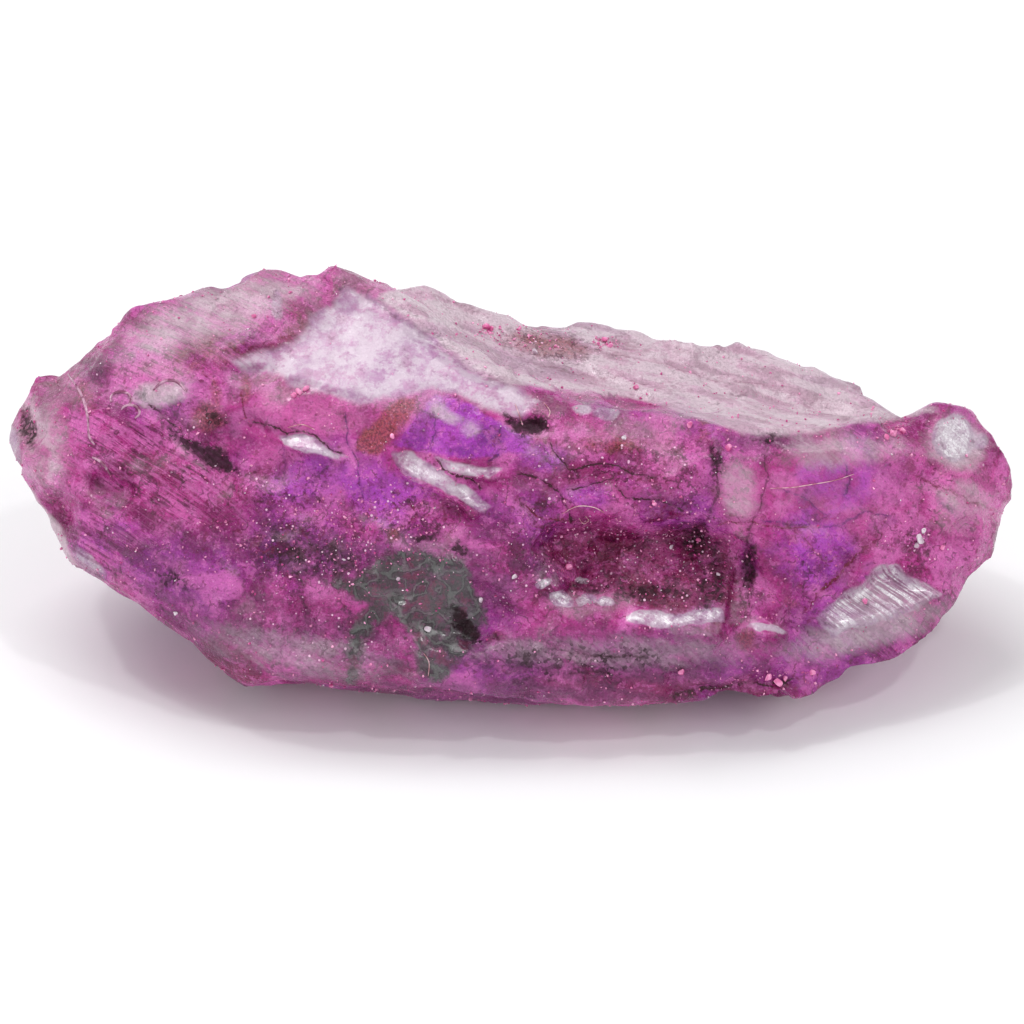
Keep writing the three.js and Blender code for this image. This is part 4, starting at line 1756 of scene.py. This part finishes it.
@dataclass
class Stone:
    """The lump itself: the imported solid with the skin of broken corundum."""

    voxel_mm: float = 0.135
    most_triangles: int = 197_000
    swell_mm: float = 0.1
    chip_count: int = 620
    chip_reach_mm: Point2 = (0.5, 2.4)
    chip_tilt: float = 0.13
    chip_sink_mm: Point2 = (0.02, 0.11)
    terrace_mm: float = 0.85
    block_mm: float = 3.4
    block_share: float = 0.7
    flake_mm: float = 1.5
    flake_share: float = 0.4
    seed: int = 11
    finish: CorundumFinish = field(default_factory=CorundumFinish)

    def build(self) -> bpy.types.Object:
        """Makes the finished piece.

        Returns:
            The piece.
        """
        piece = self.copy_solid()
        self.divide(piece, 2)
        skin = Skin(piece.data, Grain(self.seed))
        blocks = Blocks(skin, "block", self.block_mm, self.seed + 50)
        flakes = Blocks(skin, "flake", self.flake_mm, self.seed + 60)
        glassy = glassy_cover(skin)
        self.terrace(skin, 1 - glassy)
        blocks.flatten(skin, self.block_share * (1 - glassy))
        flakes.flatten(skin, self.flake_share * (1 - glassy))
        for drawing in DRAWINGS:
            drawing.cut(skin)
        self.chip(skin, 1 - 0.9 * glassy)
        self.divide(piece, 1)
        self.drop_loose(piece)
        skin = Skin(piece.data, Grain(self.seed))
        self.roughen(skin)
        for drawing in DRAWINGS:
            drawing.lay(skin)
        blocks.mark(skin)
        flakes.mark(skin)
        self.cloud(skin)
        skin.store_tints()
        self.thin(piece)
        select_only(piece)
        bpy.ops.object.shade_smooth()
        piece.data.materials.clear()
        piece.data.materials.append(self.finish.build())
        return piece

    def copy_solid(self) -> bpy.types.Object:
        """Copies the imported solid, with its corners joined.

        Returns:
            The copy.
        """
        piece = bpy.data.objects.new("rough_stone", frame["nodes"][NODE].data.copy())
        bpy.context.collection.objects.link(piece)
        select_only(piece)
        bpy.ops.object.mode_set(mode="EDIT")
        bpy.ops.mesh.select_all(action="SELECT")
        bpy.ops.mesh.remove_doubles(threshold=1e-6)
        bpy.ops.object.mode_set(mode="OBJECT")
        return piece

    def divide(self, piece: bpy.types.Object, rounds: int) -> None:
        """Divides the piece's skin into small even faces.

        Args:
            piece: The piece.
            rounds: How often the skin is smoothed afterwards.
        """
        apply_modifier(piece, "REMESH", mode="VOXEL", voxel_size=self.voxel_mm * MM, adaptivity=0)
        apply_modifier(piece, "SMOOTH", factor=0.5, iterations=rounds)

    def drop_loose(self, piece: bpy.types.Object) -> None:
        """Deletes the specks that the remesh cuts off, and keeps the part that reaches the top.

        Args:
            piece: The piece.
        """
        select_only(piece)
        bpy.ops.object.mode_set(mode="EDIT")
        bpy.ops.mesh.select_mode(type="VERT")
        bpy.ops.mesh.select_all(action="DESELECT")
        bpy.ops.object.mode_set(mode="OBJECT")
        max(piece.data.vertices, key=lambda vertex: vertex.co.z).select = True
        bpy.ops.object.mode_set(mode="EDIT")
        bpy.ops.mesh.select_linked(delimit=set())
        bpy.ops.mesh.select_all(action="INVERT")
        bpy.ops.mesh.delete(type="VERT")
        bpy.ops.object.mode_set(mode="OBJECT")

    def thin(self, piece: bpy.types.Object) -> None:
        """Joins faces where the skin is flattest, until the piece has no more than `most_triangles`
        triangles.

        Args:
            piece: The piece.
        """
        piece.data.calc_loop_triangles()
        ratio = self.most_triangles / len(piece.data.loop_triangles)
        apply_modifier(piece, "DECIMATE", ratio=min(ratio, 1.0), use_collapse_triangulate=True)

    def terrace(self, skin: Skin, share: np.ndarray) -> None:
        """Breaks the skin into low steps along the parting planes, and adds the broad unevenness.

        Args:
            skin: The skin.
            share: How fully each point takes part, from 0 to 1.
        """
        broad = Grain(self.seed + 1)
        depth = skin.points @ PARTING_NORMAL + 0.5 * broad.layered(skin.points / 3, 2)
        part = depth / self.terrace_mm - np.floor(depth / self.terrace_mm)
        step = (ease(part, 0.25, 0.75) - part) * self.terrace_mm
        where = np.clip(broad.layered(skin.points / 6 + 40, 2) * 2 + 0.4, 0, 1)
        skin.shift(PARTING_NORMAL, step * where * share * 0.8)
        skin.push(self.swell_mm * broad.layered(skin.points / 4 + 80, 3) * share)
        skin.save()

    def cloud(self, skin: Skin) -> None:
        """Marks the broad and middling clouds of colour.

        Args:
            skin: The skin.
        """
        for number, (name, size) in enumerate((("broad", 6), ("cloud", 2.2), ("patchy", 3), ("ragged", 0.9))):
            skin.tints[name] = Grain(self.seed + 30 + number).layered(skin.points / size, 3)
        across, up, towards = FRONT.axes()
        rise = skin.points @ (up + COMB_SLOPE * across)
        reach = skin.points @ (across - COMB_SLOPE * up)
        combed = np.stack((reach / 3.5, rise / 0.5, skin.points @ towards / 3), axis=1)
        skin.tints["comb"] = Grain(self.seed + 40).layered(combed, 2)
        skin.tints["band"] = Grain(self.seed + 41).layered(along_parting(skin.points, 0.8, 4.5), 3)

    def chip(self, skin: Skin, share: np.ndarray) -> None:
        """Breaks small flats into the skin, each a little tilted from the skin under it.

        Args:
            skin: The skin.
            share: How fully each point takes part, from 0 to 1.
        """
        draw = np.random.default_rng(self.seed + 2)
        for _ in range(self.chip_count):
            middle = draw.integers(len(skin.points))
            facing = skin.normals[middle] + draw.normal(0, self.chip_tilt, 3)
            facing /= np.linalg.norm(facing)
            reach = draw.uniform(*self.chip_reach_mm)
            apart = np.linalg.norm(skin.points - skin.points[middle], axis=1)
            near = np.flatnonzero(apart < reach)
            level = skin.points[middle] @ facing - draw.uniform(*self.chip_sink_mm)
            proud = np.maximum(skin.points[near] @ facing - level, 0) * ease(apart[near], reach, reach * 0.6)
            skin.points[near] -= np.outer(proud * share[near], facing)
        skin.save()

    def roughen(self, skin: Skin) -> None:
        """Adds the grain: thin sheets along the parting planes and a fine hackle.

        Args:
            skin: The skin.
        """
        calm = 1 - 0.85 * glassy_cover(skin)
        sheets = Grain(self.seed + 3).layered(along_parting(skin.points, 0.6, 4), 2)
        hackle = Grain(self.seed + 4).layered(skin.points / 1.1, 3)
        skin.push((0.03 * sheets + 0.03 * hackle) * calm)
        skin.save()


@dataclass(frozen=True)
class Powder:
    """Loose grains of one kind, strewn over the skin and heaped in places on the front."""

    name: str
    finish: GrainFinish
    count: int
    size_mm: Point2
    heaps: tuple[Blot, ...]
    background: float
    seed: int

    def master(self) -> tuple[np.ndarray, np.ndarray]:
        """One grain: a small crystal chip about the origin, a unit across.

        Returns:
            Its points and its triangles.
        """
        bpy.ops.object.select_all(action="DESELECT")
        bpy.ops.mesh.primitive_ico_sphere_add(subdivisions=1, radius=0.5)
        chip = bpy.context.active_object
        points = np.array([vertex.co for vertex in chip.data.vertices])
        faces = np.array([list(face.vertices) for face in chip.data.polygons])
        bpy.data.objects.remove(chip, do_unlink=True)
        return points, faces

    def build(self, stone: bpy.types.Object) -> bpy.types.Object:
        """Strews the grains on the stone as one joined mesh.

        Args:
            stone: The finished stone.

        Returns:
            The piece.
        """
        draw = np.random.default_rng(self.seed)
        corners, normals = self.skin_triangles(stone.data)
        middles = corners.mean(axis=1)
        density = np.full(len(middles), self.background)
        shown = FRONT.shown(normals)
        for heap in self.heaps:
            density += heap.cover(FRONT.lay(middles)) * shown
        area = np.linalg.norm(np.cross(corners[:, 1] - corners[:, 0], corners[:, 2] - corners[:, 0]), axis=1)
        density *= 1 - 0.85 * FRONT_DRAWING.stain(Tint.GLASSY, FRONT.lay(middles)) * shown
        share = density * area * (normals[:, 2] > -0.9)
        picks = draw.choice(len(middles), self.count, p=share / share.sum())
        points, faces = self.master()
        low, high = np.log(self.size_mm)
        made, joined = [], []
        for number, pick in enumerate(picks):
            weights = draw.dirichlet((1, 1, 1))
            size = math.exp(draw.uniform(low, high))
            stretch = draw.uniform(0.6, 1.4, 3)
            turn = np.array(Euler(draw.uniform(0, math.tau, 3)).to_matrix())
            jitter = draw.normal(0, 0.1, points.shape)
            grain = ((points + jitter) * stretch) @ turn.T * size
            made.append(grain + weights @ corners[pick] + normals[pick] * size * 0.22)
            joined.append(faces + number * len(points))
        mesh = bpy.data.meshes.new(self.name)
        mesh.from_pydata((np.concatenate(made) * MM).tolist(), [], np.concatenate(joined).tolist())
        piece = bpy.data.objects.new(self.name, mesh)
        bpy.context.collection.objects.link(piece)
        mesh.materials.append(self.finish.build())
        return piece

    def skin_triangles(self, mesh: bpy.types.Mesh) -> tuple[np.ndarray, np.ndarray]:
        """The stone's triangles in millimetres, and their normals.

        Args:
            mesh: The stone's mesh.

        Returns:
            The triangles' corners, and their normals.
        """
        mesh.calc_loop_triangles()
        index = np.empty(len(mesh.loop_triangles) * 3, dtype=np.int64)
        mesh.loop_triangles.foreach_get("vertices", index)
        points = np.empty(len(mesh.vertices) * 3)
        mesh.vertices.foreach_get("co", points)
        corners = points.reshape(-1, 3)[index].reshape(-1, 3, 3) / MM
        normals = np.cross(corners[:, 1] - corners[:, 0], corners[:, 2] - corners[:, 0])
        return corners, normals / np.linalg.norm(normals, axis=1, keepdims=True).clip(1e-12)


POWDERS = (
    Powder(
        "pink_powder",
        GrainFinish("pink_powder", srgb(250, 170, 212), srgb(196, 60, 136), 0.1),
        3600,
        (0.03, 0.14),
        (
            Blot((0.6, 13.6), (2.0, 0.5), -10, 6),
            Blot((-1.1, 14.1), (0.4, 0.3), 0, 20),
            Blot((12.4, -2.6), (2.2, 0.4), 4, 5),
            Blot((4.5, 13.3), (0.6, 0.3), 0, 20),
            Blot((-8.0, 4.0), (4.5, 2.0), 0, 3),
            Blot((6.0, 3.0), (5.5, 3.0), 0, 2),
            Blot((18.3, 9.0), (0.7, 0.4), 0, 9),
        ),
        0.6,
        51,
    ),
    Powder(
        "pale_powder",
        GrainFinish("pale_powder", srgb(250, 244, 248), srgb(232, 190, 216), 0.08),
        450,
        (0.03, 0.08),
        (
            Blot((-9.0, 3.8), (3.2, 1.6), 0, 3),
            Blot((19.2, 3.8), (0.5, 0.4), 0, 9),
            Blot((6.6, 3.2), (4, 2), 0, 2),
        ),
        1.0,
        52,
    ),
)


@dataclass(frozen=True)
class Strands:
    """Thin strands that lie on the front of the skin: dust fibres, or the raised rims of flakes."""

    name: str
    finish: FibreFinish
    radius_mm: float
    paths: tuple[tuple[Point2, ...], ...]
    lift_mm: float = 0.0
    steps: int = 8

    def build(self, stone: bpy.types.Object) -> bpy.types.Object:
        """Lays every strand on the stone and joins them.

        Args:
            stone: The finished stone.

        Returns:
            The piece.
        """
        curve = bpy.data.curves.new(self.name, "CURVE")
        curve.dimensions = "3D"
        curve.bevel_depth = self.radius_mm * MM
        curve.bevel_resolution = 1
        curve.use_fill_caps = True
        for path in self.paths:
            touched = [touch(stone, at, self.lift_mm) for at in self.smooth(path)]
            places = [place for place in touched if place is not None]
            spline = curve.splines.new("POLY")
            spline.points.add(len(places) - 1)
            for number, (point, place) in enumerate(zip(spline.points, places)):
                point.co = (*(place * MM), 1)
                point.radius = 0.35 + 0.65 * math.sin(math.pi * (number + 0.5) / len(places)) ** 0.5
        piece = bpy.data.objects.new(self.name, curve)
        bpy.context.collection.objects.link(piece)
        select_only(piece)
        bpy.ops.object.convert(target="MESH")
        piece.data.materials.clear()
        piece.data.materials.append(self.finish.build())
        return piece

    def smooth(self, path: tuple[Point2, ...]) -> np.ndarray:
        """A smooth line through the path's points, in small steps.

        Args:
            path: The points.

        Returns:
            The line's points, one a row.
        """
        knots = np.array((path[0], *path, path[-1]))
        part = np.linspace(0, 1, self.steps, endpoint=False)[:, None]
        runs = []
        for a, b, c, d in zip(knots, knots[1:], knots[2:], knots[3:]):
            bend = (2 * a - 5 * b + 4 * c - d) * part**2 + (3 * b - a - 3 * c + d) * part**3
            runs.append(b + 0.5 * ((c - a) * part + bend))
        return np.concatenate((*runs, knots[-1:]))


@dataclass(frozen=True)
class Crumbs:
    """Larger loose crumbs, each with its own place on the front and its size in millimetres."""

    name: str
    finish: GrainFinish
    places: tuple[Point3, ...]
    seed: int

    def build(self, stone: bpy.types.Object) -> bpy.types.Object:
        """Lays every crumb on the stone and joins them.

        Args:
            stone: The finished stone.

        Returns:
            The piece.
        """
        draw = np.random.default_rng(self.seed)
        crumbs = []
        for across, up, size in self.places:
            place = touch(stone, np.array((across, up)), size * 0.25)
            if place is None:
                continue
            bpy.ops.object.select_all(action="DESELECT")
            bpy.ops.mesh.primitive_ico_sphere_add(subdivisions=2, radius=0.5)
            crumb = bpy.context.active_object
            turn = np.array(Euler(draw.uniform(0, math.tau, 3)).to_matrix())
            cuts = draw.normal(0, 1, (9, 3))
            cuts /= np.linalg.norm(cuts, axis=1, keepdims=True)
            points = np.array([vertex.co for vertex in crumb.data.vertices])
            for cut in cuts:
                points -= np.outer(np.maximum(points @ cut - draw.uniform(0.22, 0.4), 0), cut)
            points = (points * draw.uniform(0.8, 1.4, 3)) @ turn.T * size + place
            crumb.data.vertices.foreach_set("co", (points * MM).ravel())
            crumbs.append(crumb)
        bpy.ops.object.select_all(action="DESELECT")
        for crumb in crumbs:
            crumb.select_set(True)
        bpy.context.view_layer.objects.active = crumbs[0]
        bpy.ops.object.join()
        piece = crumbs[0]
        piece.name = self.name
        piece.data.update()
        piece.data.materials.append(self.finish.build())
        return piece


def touch(stone: bpy.types.Object, at: np.ndarray, lift: float) -> np.ndarray | None:
    """Finds where a place on the front board lies on the stone.

    Args:
        stone: The finished stone.
        at: The place on the board, in millimetres.
        lift: How far above the skin it ends up, in millimetres.

    Returns:
        The point in millimetres, or None where the board shows past the stone.
    """
    eye, way = FRONT.ray((at[0], at[1]))
    hit, spot, normal, _ = stone.ray_cast(Vector(eye * MM), Vector(way))
    return np.array(spot) / MM + np.array(normal) * lift if hit else None


def ring(middle: Point2, radius: float, start: float, end: float) -> tuple[Point2, ...]:
    """An arc on the front board, as points.

    Args:
        middle: Its middle.
        radius: Its radius in millimetres.
        start: The angle that it starts at, in degrees.
        end: The angle that it ends at, in degrees.

    Returns:
        The points.
    """
    angles = np.radians(np.linspace(start, end, 7))
    return tuple((middle[0] + radius * math.cos(a), middle[1] + 0.75 * radius * math.sin(a)) for a in angles)


STRANDS = (
    Strands(
        "flake_rims",
        # The rims' pale colour is partly a painted highlight.
        FibreFinish("flake_rim", srgb(200, 150, 178), srgb(130, 62, 98), 0.12),
        0.08,
        (
            ((-21.05, 11.85), (-20.4, 10.85), (-20.1, 9.75), (-20.05, 8.95), (-19.8, 8.5)),
            ring((-18.55, 10.65), 0.5, 200, -70),
            ring((-18.1, 10.05), 0.45, 160, -60),
            ((-17.0, 11.1), (-16.5, 11.5), (-15.9, 11.5), (-15.4, 11.0)),
            ((-19.9, 7.9), (-19.4, 7.6), (-19.0, 7.0)),
        ),
    ),
    Strands(
        "dust_fibres",
        FibreFinish("dust_fibre", srgb(232, 190, 196), srgb(186, 112, 128)),
        0.022,
        (
            ((12.4, 6.4), (13.4, 6.45), (14.4, 6.6), (15.5, 6.8), (16.4, 7.1)),
            ((2.5, 5.2), (3.2, 5.55), (4.0, 5.5), (4.5, 5.25)),
            ((3.3, 5.0), (3.5, 4.75), (3.75, 4.9), (3.6, 5.1)),
            ((-4.1, -1.45), (-3.85, -1.9), (-3.9, -2.55)),
            ((0.25, 10.4), (0.45, 9.9), (0.6, 9.4)),
            ((1.6, 10.5), (1.9, 10.1), (1.85, 9.8)),
            ((1.8, 14.6), (2.6, 14.3), (3.2, 14.5)),
            ((-10.6, 9.3), (-9.9, 9.45), (-9.3, 9.2)),
        ),
        0.03,
    ),
)

CRUMBS = (
    Crumbs(
        "pink_crumbs",
        GrainFinish("pink_crumb", srgb(250, 156, 206), srgb(216, 80, 150), 0.3),
        (
            (12.7, -2.85, 0.45), (12.3, -2.6, 0.35), (13.1, -2.65, 0.3), (8.2, -2.25, 0.45),
            (14.4, -2.4, 0.4), (18.3, 8.95, 0.4), (18.7, 9.1, 0.3), (17.95, 8.8, 0.3), (4.2, 13.3, 0.3),
            (4.5, 13.45, 0.4),
            (4.75, 13.2, 0.3), (-1.2, 14.1, 0.35), (-0.9, 14.0, 0.25), (0.4, 14.0, 0.25), (0.9, 13.7, 0.2),
            (-10.0, 10.95, 0.35), (-9.7, 11.1, 0.3), (-10.3, 10.8, 0.25), (2.7, 2.6, 0.4), (9.0, 3.9, 0.3),
            (6.0, 11.2, 0.3), (8.6, 9.4, 0.3), (10.4, 8.3, 0.3), (16.9, 1.0, 0.3), (20.6, 3.6, 0.35),
            (6.9, 5.7, 0.22), (-5.6, 8.9, 0.25), (-12.2, 14.6, 0.25), (14.9, 12.4, 0.3), (-8.5, -2.9, 0.3),
        ),
        61,
    ),
    Crumbs(
        "white_crystals",
        GrainFinish("white_crystal", srgb(236, 226, 234), srgb(190, 160, 180), 0.1),
        (
            (-3.95, -0.3, 0.32), (19.5, 4.05, 0.42), (19.7, 4.4, 0.3), (19.35, 3.75, 0.28), (-5.3, 2.1, 0.2),
            (0.2, 2.2, 0.25), (7.7, 3.6, 0.25), (1.2, 12.9, 0.3), (-1.4, 1.1, 0.22), (9.9, 2.3, 0.22),
            (-7.9, 3.0, 0.2), (5.4, 8.8, 0.3), (-15.9, 0.5, 0.3),
        ),
        62,
    ),
)  # fmt: skip


@dataclass(frozen=True)
class Light:
    """An oblong light aimed at the stone, its place and size in metres and its power in watts."""

    name: str
    place: Point3
    size: Point2
    power: float

    def hang(self) -> None:
        """Hangs the light."""
        light = bpy.data.lights.new(self.name, "AREA")
        light.shape = "RECTANGLE"
        light.size, light.size_y = self.size
        light.energy = self.power
        lamp = bpy.data.objects.new(self.name, light)
        bpy.context.collection.objects.link(lamp)
        lamp.location = self.place
        lamp.rotation_euler = (-Vector(self.place)).to_track_quat("-Z", "Y").to_euler()


@dataclass
class Studio:
    """The pale floor, the soft light and the camera."""

    floor_side: float = 6.0
    lens_mm: float = 200
    distance: float = 0.2712
    lift: float = 38
    target: Point3 = (0.0001, -0.0011, 0.0076)
    sky_colour: Colour = (0.99, 1, 1)
    sky_strength: float = 0.42
    lights: tuple[Light, ...] = (
        Light("overhead_box", (-0.14, 0.14, 0.4), (0.34, 0.28), 1.05),
        Light("lamp_left", (-0.22, 0.05, 0.5), (0.03, 0.03), 0.26),
        Light("lamp_right", (0.2, -0.12, 0.48), (0.03, 0.03), 0.26),
        Light("window", (-0.5, -0.35, 0.22), (0.5, 0.3), 0.95),
        Light("right_window", (0.42, -0.2, 0.34), (0.3, 0.3), 0.85),
    )

    def build(self) -> None:
        """Sets the stage."""
        self.lay_floor()
        self.light()
        self.place_camera()
        scene = bpy.context.scene
        scene.view_settings.view_transform = "Standard"
        scene.view_settings.look = "None"

    def lay_floor(self) -> None:
        """Lays a plain floor under the stone."""
        bpy.ops.object.select_all(action="DESELECT")
        bpy.ops.mesh.primitive_plane_add(size=self.floor_side)
        floor = bpy.context.active_object
        floor.name = "floor"
        floor.data.materials.append(FloorFinish().build())

    def light(self) -> None:
        """Lights the stone: a white room, a soft box overhead, a window on each side and two small lamps."""
        world = bpy.data.worlds.new("white_room")
        bpy.context.scene.world = world
        world.use_nodes = True
        sky = world.node_tree.nodes["Background"]
        sky.inputs["Color"].default_value = (*self.sky_colour, 1)
        sky.inputs["Strength"].default_value = self.sky_strength
        for light in self.lights:
            light.hang()

    def place_camera(self) -> None:
        """Places the camera on the stone's front, looking down at it."""
        camera = bpy.data.cameras.new("camera")
        camera.lens = self.lens_mm
        camera.clip_start, camera.clip_end = 0.01, 20
        eye = bpy.data.objects.new("camera", camera)
        bpy.context.collection.objects.link(eye)
        tilt = math.radians(self.lift)
        back = Vector((0, -math.cos(tilt), math.sin(tilt)))
        eye.location = Vector(self.target) + back * self.distance
        eye.rotation_euler = (-back).to_track_quat("-Z", "Y").to_euler()
        bpy.context.scene.camera = eye


def main() -> None:
    """Builds the stone, what lies on it, and the studio."""
    logging.basicConfig(level=logging.INFO, format="%(name)s: %(message)s")
    stone = Stone().build()
    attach(stone, BODY)
    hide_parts(NODE)
    log.info("%s: %d faces", stone.name, len(stone.data.polygons))
    for loose in (*POWDERS, *CRUMBS, *STRANDS):
        piece = loose.build(stone)
        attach(piece, BODY)
        log.info("%s: %d faces", piece.name, len(piece.data.polygons))
    Studio().build()


if __name__ == "__main__":
    main()
